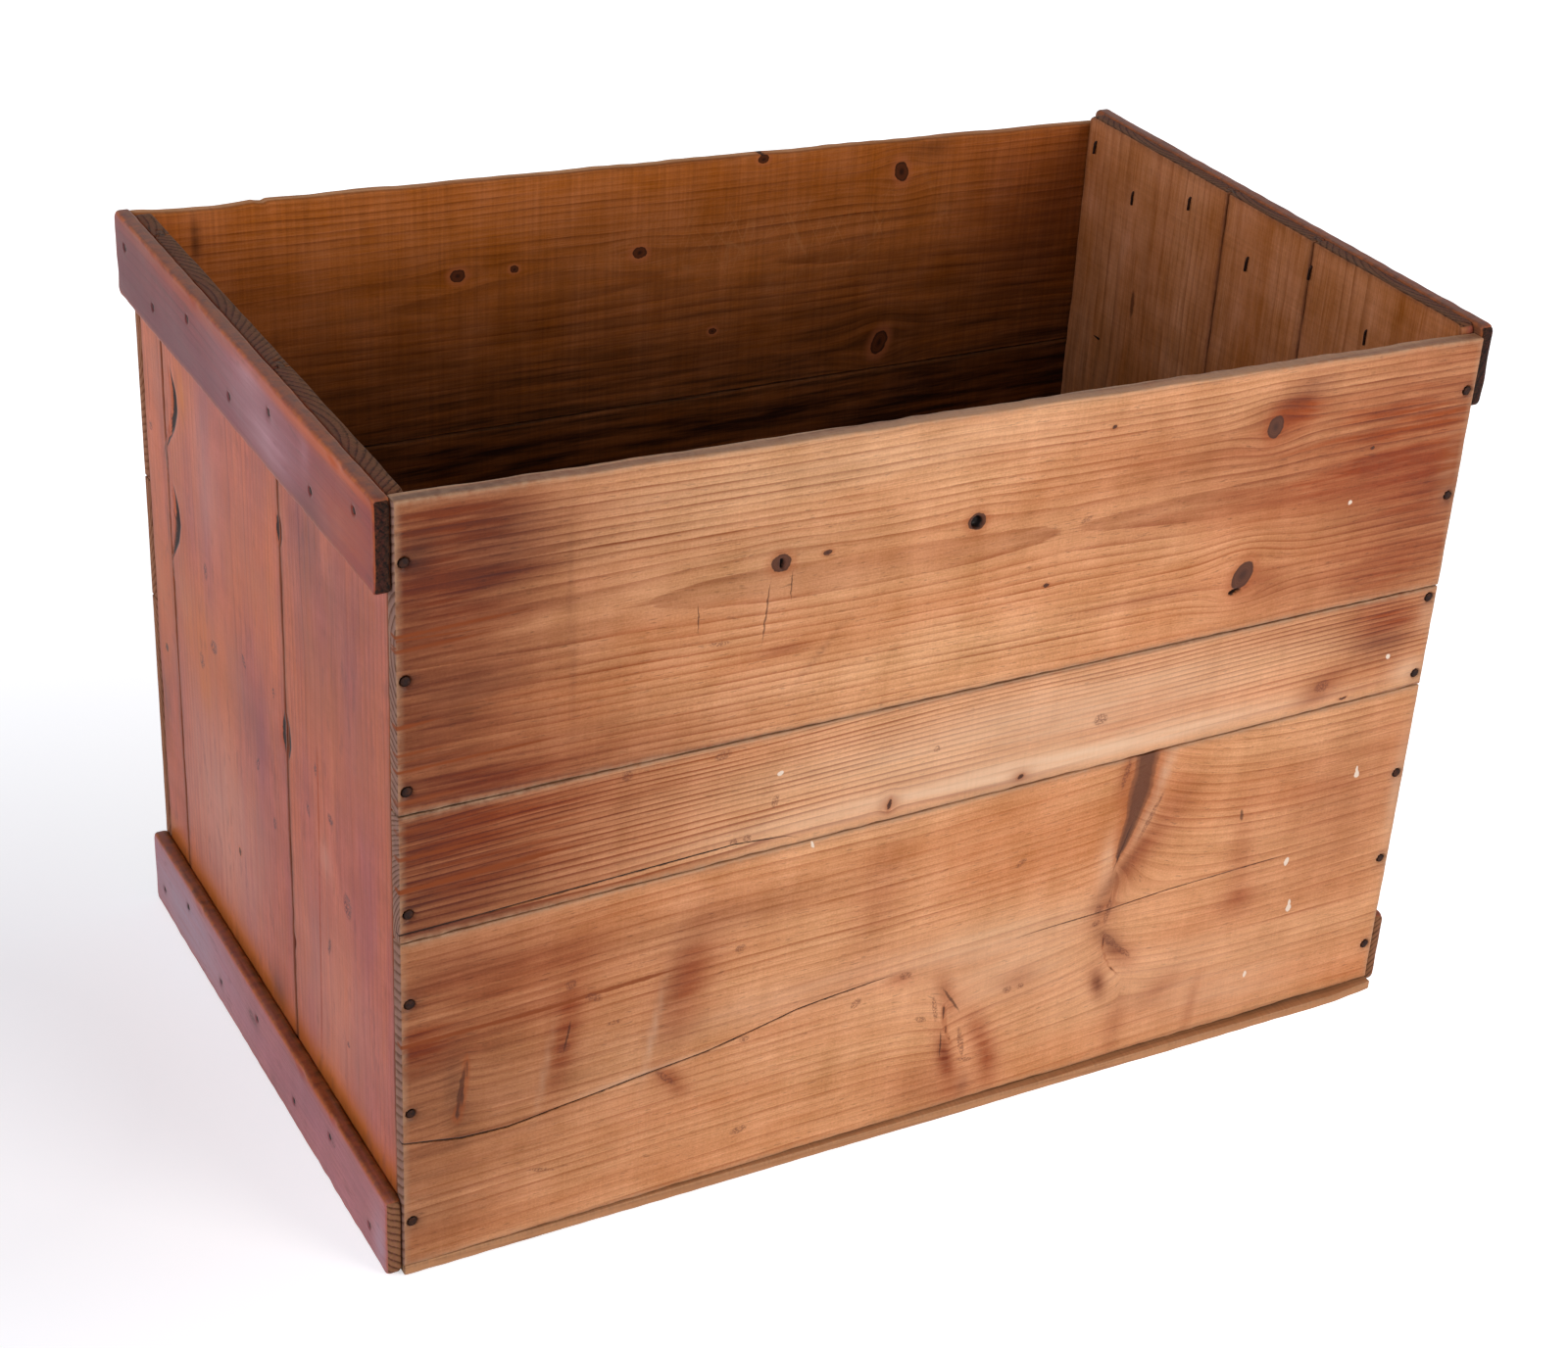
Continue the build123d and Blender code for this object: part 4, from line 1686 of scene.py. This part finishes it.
FRONT_BOTTOM_SPOTS = Spot.rows({
    Mark.BRUISE: [
        (-24, 110, 4, 2.6, -10), (108, 119.5, 3, 3.4), (107, 110, 2.6, 2), (-56, 100, 4, 2.4, 40),
        (-176, 85, 8, 2, -45), (-234, 165, 3, 3), (-221, 153, 5, 2.6, -30), (-208, 133, 4, 1.4),
        (-133, 160, 3, 2.4), (-250, 46, 8, 1, -18), (-128, 97, 3, 2), (-128, 33, 5, 2.4, 10),
        (48, 168, 4, 2, 35), (-238, 125, 3.5, 3), (-1.8, 80, 1.6, 9, 10), (18.5, 50, 1.8, 11, 12),
        (118, 95, 2.4, 9, 42), (129, 84, 1.8, 9, 45), (115, 212, 1.8, 10, -10),
        (137.5, 178, 1.6, 16, -25), (114.5, 117, 1.8, 9, -8), (48, 79, 3, 2.4), (57, 79, 2.4, 2),
        (-11, 75, 4, 1.8, -25), (23, 36, 6, 1.4, -12),
    ],
    Mark.CHECK: [
        (206, 161, 1.2, 4, 10), (9, 83, 0.9, 11, 33), (4.3, 53, 0.6, 9, 2), (119.5, 161, 0.6, 16, -17),
        (-297, 116, 1.5, 15, -9), (-236, 132, 0.7, 10, -12),
    ],
    Mark.PAINT: [
        (292, 169, 1.8, 2.4), (291.6, 172, 0.9, 3.2, 8), (247, 117, 1.6, 3.2), (255, 80.5, 1.9, 2.8),
        (255.2, 84, 1.0, 3.4, 4), (228, 38, 1.1, 2.4), (-92, 217, 0.9, 2.6, 20),
    ],
})
FRONT_BOTTOM_STAINS = Stain.rows({
    Tint.DARK: [
        (-300, 112, 6, 26, 0.4, 5), (-172, 146, 10, 34, 0.22, -12), (-150, 182, 60, 14, 0.15),
        (121, 144, 4, 26, 0.35, -40), (114, 64, 4, 10, 0.5, 18), (120, 92, 5, 13, 0.45, 42),
        (8, 42, 4, 14, 0.35, 18), (23, 18, 5, 8, 0.4), (-285, 195, 50, 16, 0.2),
    ],
    Tint.RED: [
        (-238, 128, 9, 36, 0.55, -10), (-165, 146, 16, 40, 0.6, -12), (-46, 172, 16, 44, 0.3, -8),
        (130, 150, 11, 30, 0.8, -36), (157, 180, 16, 22, 0.3, -16), (115, 212, 6, 14, 0.5, -10),
        (114, 64, 6, 13, 0.7, 18), (123, 88, 8, 22, 0.6, 42), (112, 118, 10, 12, 0.45),
        (210, 130, 10, 36, 0.3, 6), (6, 86, 6, 18, 0.6, 20), (8, 44, 6, 20, 0.8, 16),
        (31, 52, 8, 26, 0.6, 22), (40, 25, 8, 20, 0.5, 6), (18, 14, 16, 12, 0.45), (-8, 26, 28, 18, 0.35),
        (-27, 109, 9, 4, 0.5), (-190, 115, 180, 70, 0.16), (-250, 22, 90, 20, 0.15),
        (300, 190, 60, 30, 0.2), (212, 98, 16, 11, 0.45), (285, 140, 70, 70, 0.4),
        (130, 28, 8, 30, 0.35, -4), (162, 48, 20, 11, 0.4, 30), (188, 25, 4, 26, 0.35, -8),
        (55, 85, 14, 9, 0.4), (-260, 185, 90, 30, 0.3), (-330, 120, 70, 150, 0.4),
        (-270, 165, 70, 55, 0.25), (-325, 150, 22, 15, 0.35), (-120, 185, 50, 10, 0.25),
        (-172, 82, 6, 14, 0.6, 40),
    ],
    Tint.PALE: [
        (-248, 116, 2, 26, 0.5, -10), (-184, 122, 2, 28, 0.6, -10), (143, 206, 4, 18, 0.5, -16),
        (132, 172, 4, 18, 0.4, -25), (110, 150, 6, 20, 0.4), (42, 90, 60, 18, 0.3),
        (215, 28, 60, 22, 0.25), (326, 150, 5, 40, 0.5), (30, 118, 90, 14, 0.35),
        (-110, 118, 60, 10, 0.2), (-188, 92.5, 36, 2, 0.7, 5), (150, 60, 90, 30, 0.2),
    ],
    Tint.GRIME_AND_SHADE: [(-255, 100, 85, 60, 0.2), (-345, 120, 60, 190, 0.35)],
})


@dataclass
class FrontWall(Wall):
    """The front: three boards, the widest from the same plank as the back."""

    lay: Lay = Lay.FRONT
    slot: str = "pine_front"
    finish: WoodFinish = HONEY_PINE

    def boards(self) -> list[Board]:
        """The boards from the top down."""
        return [self.top(), self.middle(), self.bottom()]

    def top(self) -> Board:
        """Cuts the top board.

        Returns:
            The board, with two fallen knots and a lens of one wide ring.
        """
        return self.board(
            "front_top_board",
            Grain(
                centre=((-330, 388), (-196, 386), (-122, 383.8), (-70, 382), (50, 380.6), (330, 377)),
                depth=22,
                ring=4.4,
                drift=(
                    *((-330, 1.6), (-196, 0.0), (-169, -1.3), (-122, -2.9), (-70, -2.9), (-5, -2.3)),
                    *((36, -0.6), (50, 0.0), (55, 0.05), (180, -2.7), (330, -4.3)),
                ),
                wobble=0.8,
                strength=0.75,
            ),
            seed=11,
            step=2.5,
            joint_grime=(0.5, 0.0),
            top_dust=0.35,
            high_wave=0.45,
            spots=FRONT_TOP_SPOTS,
            stains=FRONT_TOP_STAINS,
            streaks=(
                Line(((-365, 394), (-258, 397)), 1.2, strength=0.9),
                Line(((-365, 386), (-280, 388.5)), 1.2, strength=0.8),
                Line(((-365, 343), (-305, 346)), 1.4, strength=0.9),
                Line(((-365, 328), (-298, 330)), 1.0, strength=0.8),
                Line(((-365, 319), (-238, 321)), 1.0, strength=0.9),
                Line(((-365, 300), (-290, 303)), 1.6, strength=0.6),
            ),
            dents=Dent.rows((-155, 355, 6, 2, 0.4), (66, 385, 4, 2, 0.4), (-25, 340, 3, 5, 0.3)),
        )

    def middle(self) -> Board:
        """Cuts the narrow middle board.

        Returns:
            The board, rubbed pale along its lower edge.
        """
        return self.board(
            "front_middle_board",
            Grain(
                centre=((-330, 210), (330, 219)),
                depth=40,
                ring=2.55,
                drift=((-330, 0.6), (0, 0), (330, -0.9)),
                strength=1.35,
            ),
            seed=23,
            step=2.5,
            joint_grime=(0.35, 0.5),
            spots=FRONT_MIDDLE_SPOTS,
            stains=FRONT_MIDDLE_STAINS,
            cracks=(
                Line(((-350, 222.5), (-230, 226), (-140, 229), (-108, 226.5), (-100, 223.5)), 0.55, 1.6),
            ),
            streaks=(
                Line(((-365, 248), (-290, 251), (-230, 253)), 1.7, strength=0.95),
                Line(((-365, 268), (-276, 270)), 1.3, strength=0.8),
                Line(((-365, 283), (-300, 285)), 1.4, strength=0.5),
            ),
            dents=Dent.rows((-150, 287, 5, 3, 0.5), (-205, 288, 3, 3, 0.4), (92, 254, 5, 4, 0.4)),
        )

    def bottom(self) -> Board:
        """Cuts the bottom board.

        Returns:
            The board, with two branches cut lengthwise and long cracks.
        """
        return self.board(
            "front_bottom_board",
            Grain(
                centre=((-330, -160), (330, -150)),
                depth=80,
                ring=5.6,
                drift=((-330, 4), (0, 0), (330, 6)),
                strength=0.5,
            ),
            seed=37,
            step=2.9,
            joint_grime=(0.3, 0.35),
            spots=FRONT_BOTTOM_SPOTS,
            spikes=(
                Spike((129, 226), (115.5, 150), (8.6, 1.0), (6, 30), (20, 48)),
                Spike((114, 97), (131, 63), (0.6, 0.5), (10, 12), (30, 34)),
                Spike((4.5, 80), (12, 50), (1.0, 0.5), (-10, -8), (26, 34)),
                Spike((-294, 132), (-299, 100), (1.0, 1.8), (3, 3), (9, 9)),
            ),
            stains=FRONT_BOTTOM_STAINS,
            cracks=(
                Line(
                    (
                        *((-350, 94), (-297, 83), (-270, 82), (-223, 87)),
                        *((-150, 95), (-95, 107), (-75, 109), (-30, 113)),
                    ),
                    0.6,
                    1.8,
                ),
                Line(((48, 115), (108, 117), (160, 120), (248, 122)), 0.4, 1.2),
            ),
            streaks=(Line(((-365, 153), (-250, 154), (-165, 158)), 1.5, strength=0.85),),
            dents=Dent.rows(
                (-188, 91, 38, 3, 0.7, 5), (-221, 153, 5, 3, 0.4), (-234, 165, 3.5, 3.5, 0.4),
                (-133, 160, 3.5, 3, 0.3),
            ),
        )


@dataclass
class BackWall(Wall):
    """The back: three boards, seen mostly from inside, with painted shade darker towards the bottom of the
    box.
    """

    lay: Lay = Lay.BACK
    slot: str = "pine_back"
    finish: WoodFinish = BARE_PINE
    # Painted shade on the inner faces, darker towards the bottom of the box
    grime: tuple[float, float, float] = (0.0, 0.82, 170.0)

    def boards(self) -> list[Board]:
        """The boards from the top down."""
        return [self.top(), self.middle(), self.bottom()]

    def top(self) -> Board:
        """Cuts the wide top board.

        Returns:
            The board, with most of the knots.
        """
        drift = ((-330, 1.6), (-220, 0.0), (-80, -3.0), (42, 0.0), (50, 0.05), (180, -2.7), (330, -4.3))
        return self.board(
            "back_top_board",
            Grain(((-330, 392), (-220, 388), (42, 385), (330, 380)), depth=22, ring=4.4, drift=drift),
            seed=51,
            nicks=((-292, 40, 1.4), (-254, 4, 1.2)),
            high_wave=0.5,
            joint_grime=(0.8, 0.0),
            stained_inside=True,
            stains=Stain.rows({
                Tint.DARK: [(-295, 447, 3, 14, 0.7), (195, 447, 16, 6, 0.5)],
                Tint.PALE: [(110, 405, 130, 36, 0.24)],
                Tint.RED: [(290, 400, 70, 60, 0.4)],
            }),
            spots=Spot.rows({
                Mark.KNOT: [
                    (-134, 403, 4.6, 3.9), (-97, 402.5, 2.6, 2.2), (-12, 402, 4.5, 3.6),
                    (175.5, 434, 4.6, 6.4, 15), (168, 315, 5.2, 8, -20), (42, 341.5, 2.6, 2.2),
                    (73, 454, 3.5, 2.6),
                ],
            }),
            inner_grime=self.grime,
        )

    def middle(self) -> Board:
        """Cuts the middle board.

        Returns:
            The board, which is plain.
        """
        return self.board(
            "back_middle_board",
            Grain(centre=((-330, 300), (330, 296)), depth=55, ring=4.0),
            seed=57,
            step=4.0,
            joint_grime=(0.8, 0.8),
            inner_grime=self.grime,
        )

    def bottom(self) -> Board:
        """Cuts the bottom board.

        Returns:
            The board, with two knots.
        """
        return self.board(
            "back_bottom_board",
            Grain(((-330, 90), (330, 110)), depth=70, ring=5.0, drift=((-330, 3), (0, -1), (330, 2))),
            seed=61,
            step=4.0,
            spots=Spot.rows({Mark.KNOT: [(-190, 150, 7, 6), (120, 70, 8, 7, 20)]}),
            joint_grime=(0.0, 0.8),
            inner_grime=self.grime,
        )


@dataclass(frozen=True)
class EndPlank:
    """What one upright board of an end, or one cleat, has of its own."""

    centre: float
    spots: tuple[Spot, ...] = ()
    stains: tuple[Stain, ...] = ()
    cracks: tuple[Line, ...] = ()
    dents: tuple[Dent, ...] = ()


# The slot and the finish of both ends' upright boards
END_LOOK = ("stained_end", STAINED_PINE)


@dataclass
class EndWall(Wall):
    """An end of the box: three upright boards, tongued and grooved, and two cleats outside."""

    side: str
    cleat_lay: Lay
    seed: int
    planks: tuple[EndPlank, EndPlank, EndPlank]
    cleats: tuple[EndPlank, EndPlank]
    cleat_slot: str = "stained_cleat"
    cleat_finishes: tuple[WoodFinish, WoodFinish] = (DARK_PINE, LOW_PINE)

    def boards(self) -> list[Board]:
        """Cuts the boards and the cleats of this end.

        Returns:
            The upright boards from the front, then the cleats from the top.
        """
        edges = ((Edge.PLAIN, Edge.TONGUE), (Edge.GROOVE, Edge.TONGUE), (Edge.GROOVE, Edge.PLAIN))
        names = ("front", "middle", "back")
        uprights = [self.upright(i, names[i], *edges[i]) for i in range(len(names))]
        return uprights + [self.cleat(i, name) for i, name in enumerate(("top", "bottom"))]

    def upright(self, i: int, name: str, low_edge: Edge, high_edge: Edge) -> Board:
        """Cuts one upright board.

        Args:
            i: its number from the front.
            name: its place in the end.
            low_edge: how its front edge is worked.
            high_edge: how its back edge is worked.

        Returns:
            The board.
        """
        plank = self.planks[i]
        # The wood above the lower cleat is rubbed to orange
        rubbed = Stain(Tint.RED, (52, plank.centre), (9, 150), 0.5)
        return self.board(
            f"{self.side}_end_{name}_board",
            Grain(centre=((0, plank.centre), (468, plank.centre + 6)), depth=60, ring=4.0),
            seed=self.seed + 7 * i,
            low_edge=low_edge,
            high_edge=high_edge,
            step=3.2,
            end_round=1.2,
            corner=5.0,
            spots=plank.spots,
            stains=(rubbed, *plank.stains),
            cracks=plank.cracks,
            dents=plank.dents,
            joint_grime=(0.4, 0.4),
            # Painted shade darkens the inner faces towards the bottom of the box
            inner_grime=(0.0, 0.55, 180.0),
        )

    def cleat(self, i: int, name: str) -> Board:
        """Cuts one cleat.

        Args:
            i: its number from the top.
            name: its place on the end.

        Returns:
            The cleat.
        """
        plank = self.cleats[i]
        return Board(
            f"{self.side}_{name}_cleat",
            self.cleat_lay,
            self.cleat_slot,
            self.cleat_finishes[i],
            Grain(centre=((-200, plank.centre), (200, plank.centre + 4)), depth=50, ring=4.0),
            seed=self.seed + 31 + 5 * i,
            step=2.4,
            arris=2.2,
            arris_wear=0.6,
            end_round=2.6,
            corner=5.0,
            nail_radius=2.0,
            top_dust=0.75,
            spots=plank.spots,
            stains=plank.stains,
            dents=plank.dents,
        )


def left_end() -> EndWall:
    """The left end, the one seen from outside.

    Returns:
        The end with its cracks, scuffs and rubbed cleats.
    """
    front = EndPlank(
        -120,
        spots=Spot.rows({
            Mark.BRUISE: [
                (195, -128, 7, 6), (102, -124, 2, 2), (255, -84, 4, 2), (222, -70, 5, 2, 20),
                (150, -98, 6, 2, -15), (236, -105, 3, 4),
            ],
        }),
        stains=Stain.rows({
            Tint.DARK: [(350, -115, 75, 85, 0.3), (392, -75, 20, 22, 0.3)],
            Tint.RED: [(295, -130, 50, 60, 0.35), (57, -120, 13, 100, 0.75)],
            Tint.PALE: [(205, -95, 12, 9, 0.5), (110, -100, 70, 75, 0.35)],
            Tint.GRIME_AND_SHADE: [(52, -120, 9, 100, 0.4)],
        }),
        cracks=(
            Line(((58, -79), (150, -84), (275, -88)), 0.3, 0.9),
            Line(((366, -40), (376, -40.5), (386, -40)), 2.4, 1.0),
            Line(((236, -41), (250, -42), (266, -40)), 3.0, 1.0),
            Line(((110, -40), (122, -40)), 2.0, 0.8),
        ),
        dents=Dent.rows((195, -128, 8, 7, 0.5)),
    )
    middle = EndPlank(
        60,
        spots=Spot.rows({
            Mark.KNOT: [(122, 52, 2.4, 2)],
            Mark.BRUISE: [
                (243, 84, 4, 6, 20), (222, 108, 5, 4), (288, 92, 5, 3), (262, 30, 4, 2.4, 40),
                (205, 12, 5, 2.4, -20), (180, -14, 4, 2.4), (268, -20, 3, 2),
            ],
        }),
        stains=Stain.rows({
            Tint.RED: [
                (238, 110, 38, 55, 0.6), (204, 104, 14, 12, 0.5), (318, 8, 48, 42, 0.4),
                (384, 122, 18, 11, 0.85), (57, 60, 13, 120, 0.75),
            ],
            Tint.PALE: [(130, 80, 75, 75, 0.6), (345, 85, 50, 22, 0.3)],
            Tint.DARK: [(230, 20, 35, 50, 0.2), (64, -8, 12, 14, 0.5)],
            Tint.GRIME_AND_SHADE: [(52, 60, 9, 120, 0.4)],
        }),
        cracks=(
            Line(((338, 155), (347, 149), (358, 141), (370, 135), (382, 136), (396, 142)), 3.4, 1.4),
            Line(((266, 155), (275, 150), (284, 144), (296, 140), (307, 142), (320, 147)), 3.2, 1.4),
            Line(((366, -37), (376, -36), (386, -37)), 2.4, 1.0),
            Line(((238, -37), (250, -35), (266, -37)), 2.8, 1.0),
        ),
        dents=Dent.rows((243, 84, 5, 7, 0.4)),
    )
    back = EndPlank(
        178,
        spots=Spot.rows({Mark.KNOT: [(195, 178, 2.6, 2.4)], Mark.BRUISE: [(340, 184, 3, 3)]}),
        stains=Stain.rows({
            Tint.DARK: [(158, 185, 24, 9, 0.5)],
            Tint.RED: [(240, 178, 40, 28, 0.5), (57, 178, 13, 40, 0.75)],
            Tint.GRIME_AND_SHADE: [(52, 178, 9, 40, 0.4)],
        }),
    )
    top = EndPlank(
        400,
        stains=Stain.rows({
            Tint.PALE: [
                (-42, 443, 62, 26, 0.5), (-22, 459, 24, 6, 0.5), (-56, 433, 28, 9, 0.45),
                (-108, 452, 7, 12, 0.3, 10),
            ],
            Tint.DARK: [(150, 436, 90, 30, 0.3), (-112, 420, 24, 9, 0.5)],
            Tint.RED: [(-165, 436, 44, 22, 0.6), (-125, 464, 80, 4, 1.0), (80, 463, 110, 4, 0.5)],
        }),
        dents=Dent.rows((-56, 448, 7, 4, 0.4), (-150, 466, 12, 4, 0.8), (60, 467, 9, 4, 0.6)),
    )
    bottom = EndPlank(
        -60,
        spots=Spot.rows({Mark.BRUISE: [(15, 30, 7, 3, 8), (-120, 34, 3, 3)]}),
        stains=Stain.rows({
            Tint.RED: [(-90, 50, 60, 5, 0.7), (110, 50, 14, 5, 0.6)],
            # The pale patches are painted light, brightening the lower cleat
            Tint.PALE: [(140, 24, 90, 26, 0.75), (-190, 18, 9, 20, 0.5)],
            Tint.DARK: [(14, 29, 10, 4, 0.5, 10), (-20, 6, 6, 6, 0.35)],
        }),
        dents=Dent.rows((-70, 49, 10, 4, 0.9), (110, 49, 8, 4, 0.8), (-120, 50, 7, 4, 0.8)),
    )
    planks, cleats = (front, middle, back), (top, bottom)
    return EndWall(Lay.LEFT_END, *END_LOOK, "left", Lay.LEFT_CLEAT, 101, planks, cleats)


def right_end() -> EndWall:
    """The right end, seen from inside.

    Returns:
        The end with its boards and cleats.
    """
    planks = (
        EndPlank(-130, stains=Stain.rows({Tint.DARK: [(220, -120, 60, 30, 0.3)]})),
        EndPlank(0, stains=Stain.rows({Tint.PALE: [(260, 0, 90, 20, 0.3)]})),
        EndPlank(120, spots=Spot.rows({Mark.CHECK: [(349, 122, 10, 2)]})),
    )
    cleats = (
        EndPlank(400, stains=Stain.rows({Tint.RED: [(-60, 450, 80, 14, 0.4)]})),
        EndPlank(-60, stains=Stain.rows({Tint.DARK: [(80, 24, 60, 14, 0.3)]})),
    )
    return EndWall(Lay.RIGHT_END, *END_LOOK, "right", Lay.RIGHT_CLEAT, 151, planks, cleats)


@dataclass
class BoxFloor(Wall):
    """The floor: three thin boards nailed up from below."""

    lay: Lay = Lay.FLOOR
    slot: str = "pine_floor"
    finish: WoodFinish = FLOOR_PINE

    def boards(self) -> list[Board]:
        """Cuts the floor's boards.

        Returns:
            The boards from the front.
        """
        return [
            self.board(
                f"floor_{place}_board",
                Grain(
                    centre=((-330, centre), (330, centre + 10)),
                    depth=45,
                    ring=4.5,
                    drift=((-330, 2), (330, -2)),
                ),
                seed=seed,
                step=4.0,
                arris=0.7,
                arris_wear=0.4,
                nail_radius=3.0,
                # Dust and painted shade darken the floor inside, clear of its edges
                inner_grime=(0.6, 0.8, 100.0),
                grime_gap=13.0,
            )
            for place, centre, seed in (("front", -140, 81), ("middle", 10, 87), ("back", 130, 93))
        ]


def nail_rows() -> list[NailRow]:
    """All rows of nails of the box.

    Returns:
        The rows with their sizes and the way they face.
    """
    rows = []
    for wall, out, seed in (("front", (0, -1, 0), 3), ("back", (0, 1, 0), 4)):
        rows += [NailRow(f"{wall}_{end}_nails", out, WALL_NAIL, seed) for end in ("left", "right")]
    for end, out, seed in (("left", (-1, 0, 0), 7), ("right", (1, 0, 0), 8)):
        for place, tail in (("top", (0, 0, -1)), ("bottom", (0, 0, 1))):
            rows.append(NailRow(f"{end}_{place}_cleat_nails", out, CLEAT_NAIL, seed, tail))
    for seed, side in enumerate(("front", "back", "left", "right"), start=13):
        rows.append(NailRow(f"floor_{side}_nails", (0, 0, -1), FLOOR_NAIL, seed))
    return rows


@dataclass
class Studio:
    """The set: a pale floor, even walls of light, and the camera of the photograph."""

    azimuth: float = -32.0589
    elevation: float = 29.4630
    roll: float = 4.6306
    eye: tuple[float, float, float] = (-764.98, -1335.14, 1063.23)
    focal: float = 2933.02
    frame_width: float = 1600.0
    sensor: float = 36.0
    shift: Place = (-0.0625, 0.0075)
    floor_half: float = 9.0
    floor_drop: float = 0.0004
    # The floor's painted shadow is centred here, left of the box
    painted_shadow_centre: tuple[float, float, float] = (-0.55, 0.05, 0.0)

    def camera(self) -> None:
        """Sets the camera at the photograph's viewing angle."""
        az, el, roll = (math.radians(a) for a in (self.azimuth, self.elevation, self.roll))
        back = Vector((math.sin(az) * math.cos(el), -math.cos(az) * math.cos(el), math.sin(el)))
        right = Vector((0, 0, 1)).cross(back).normalized()
        up = back.cross(right)
        across = right * math.cos(roll) + up * math.sin(roll)
        upward = up * math.cos(roll) - right * math.sin(roll)
        data = bpy.data.cameras.new("camera")
        data.sensor_width = self.sensor
        data.lens = self.focal / self.frame_width * self.sensor
        # The photograph is a crop: its optical centre lies right of the middle and a little low
        data.shift_x, data.shift_y = self.shift
        camera = bpy.data.objects.new("camera", data)
        turn = Matrix((across, upward, back)).transposed().to_4x4()
        camera.matrix_world = Matrix.Translation(Vector(self.eye) * MM) @ turn
        bpy.context.scene.collection.objects.link(camera)
        bpy.context.scene.camera = camera

    def world(self) -> None:
        """Makes even walls of light that fade towards the ceiling, white where the camera sees them."""
        world = bpy.data.worlds.new("studio")
        world.use_nodes = True
        bpy.context.scene.world = world
        n = Nodes(world.node_tree)
        way = n.add("ShaderNodeTexCoord")
        height = n.add("ShaderNodeSeparateXYZ", [way], out=2)
        level = n.add(RANGE, [height, 0.0, 1.0, 0.66, 0.1])
        light = n.add("ShaderNodeBackground", {"Color": linear("#f4f7ff"), "Strength": level})
        white = n.add("ShaderNodeBackground", {"Color": (1, 1, 1, 1), "Strength": 1.0})
        mixed = n.add("ShaderNodeMixShader", [self.seen(n), light, white])
        n.add("ShaderNodeOutputWorld", {"Surface": mixed})

    @staticmethod
    def seen(n: Nodes) -> Socket:
        """Finds rays that look at the background.

        Args:
            n: the nodes of the world or of the floor.

        Returns:
            1 for camera, glossy and transmission rays, otherwise 0.
        """
        path = n.add("ShaderNodeLightPath").node.outputs
        seen = path["Is Camera Ray"]
        for ray in ("Is Glossy Ray", "Is Transmission Ray"):
            seen = n.add(MAXIMUM, [seen, path[ray]])
        return seen

    def floor(self) -> None:
        """Lays a pale floor that keeps the shadow of the box, and a painted shadow to its left."""
        mesh = bpy.data.meshes.new("studio_floor")
        corners = ((-1, -1), (1, -1), (1, 1), (-1, 1))
        places = [(x * self.floor_half, y * self.floor_half, -self.floor_drop) for x, y in corners]
        mesh.from_pydata(places, [], [(0, 1, 2, 3)])
        floor = bpy.data.objects.new("studio_floor", mesh)
        bpy.context.scene.collection.objects.link(floor)
        material = bpy.data.materials.new("white_paper")
        material.use_nodes = True
        n = Nodes(material.node_tree)
        paper = n.add("ShaderNodeBsdfDiffuse", {"Color": linear("#e2e2e4")})
        # The paper glows to white for the camera and for reflections, and glows less left of the box, a
        # painted shadow there
        place = n.add("ShaderNodeTexCoord", out=3)
        away = n.add(VECTOR, [place, self.painted_shadow_centre], out=1, operation="DISTANCE")
        lift = n.add(RANGE, [away, 0.15, 0.9, 0.42, 0.97])
        lift = n.add(MULTIPLY, [self.seen(n), lift])
        glow = n.add("ShaderNodeEmission", {"Color": (1, 1, 1, 1), "Strength": lift})
        both = n.add("ShaderNodeAddShader", [paper, glow])
        n.add("ShaderNodeOutputMaterial", {"Surface": both})
        mesh.materials.append(material)

    def lamps(self) -> None:
        """Hangs two large soft boxes."""
        for name, eye, size, power, tint in (
            ("key", (1.2, -2.5, 1.1), 1.5, 46.0, "#fff8f0"),
            ("fill", (-2.2, -0.6, 1.3), 1.6, 28.0, "#eef3ff"),
        ):
            data = bpy.data.lights.new(name, "AREA")
            data.shape = "DISK"
            data.size = size
            data.energy = power
            data.color = linear(tint)[:3]
            lamp = bpy.data.objects.new(name, data)
            lamp.location = eye
            aim = Vector((0, 0, 0.2)) - Vector(eye)
            lamp.rotation_euler = aim.to_track_quat("-Z", "Y").to_euler()
            bpy.context.scene.collection.objects.link(lamp)


def main() -> None:
    """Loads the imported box, sets the studio and builds every board and nail."""
    logging.basicConfig(level=logging.INFO, format="%(name)s %(message)s")
    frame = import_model()
    bpy.context.scene.view_settings.view_transform = "Standard"
    studio = Studio()
    studio.camera()
    studio.world()
    studio.floor()
    studio.lamps()
    iron = IronFinish().material()
    heads = []
    for row in nail_rows():
        places = row.places(frame["nodes"])
        heads.append(places)
        piece = row.build(places, iron)
        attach(piece, "root")
        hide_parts(row.node)
        LOG.info("%s: %d nails", piece.name, len(places))
    for wall in (FrontWall(), BackWall(), left_end(), right_end(), BoxFloor()):
        wall.make(frame["nodes"], heads)


if __name__ == "__main__":
    main()
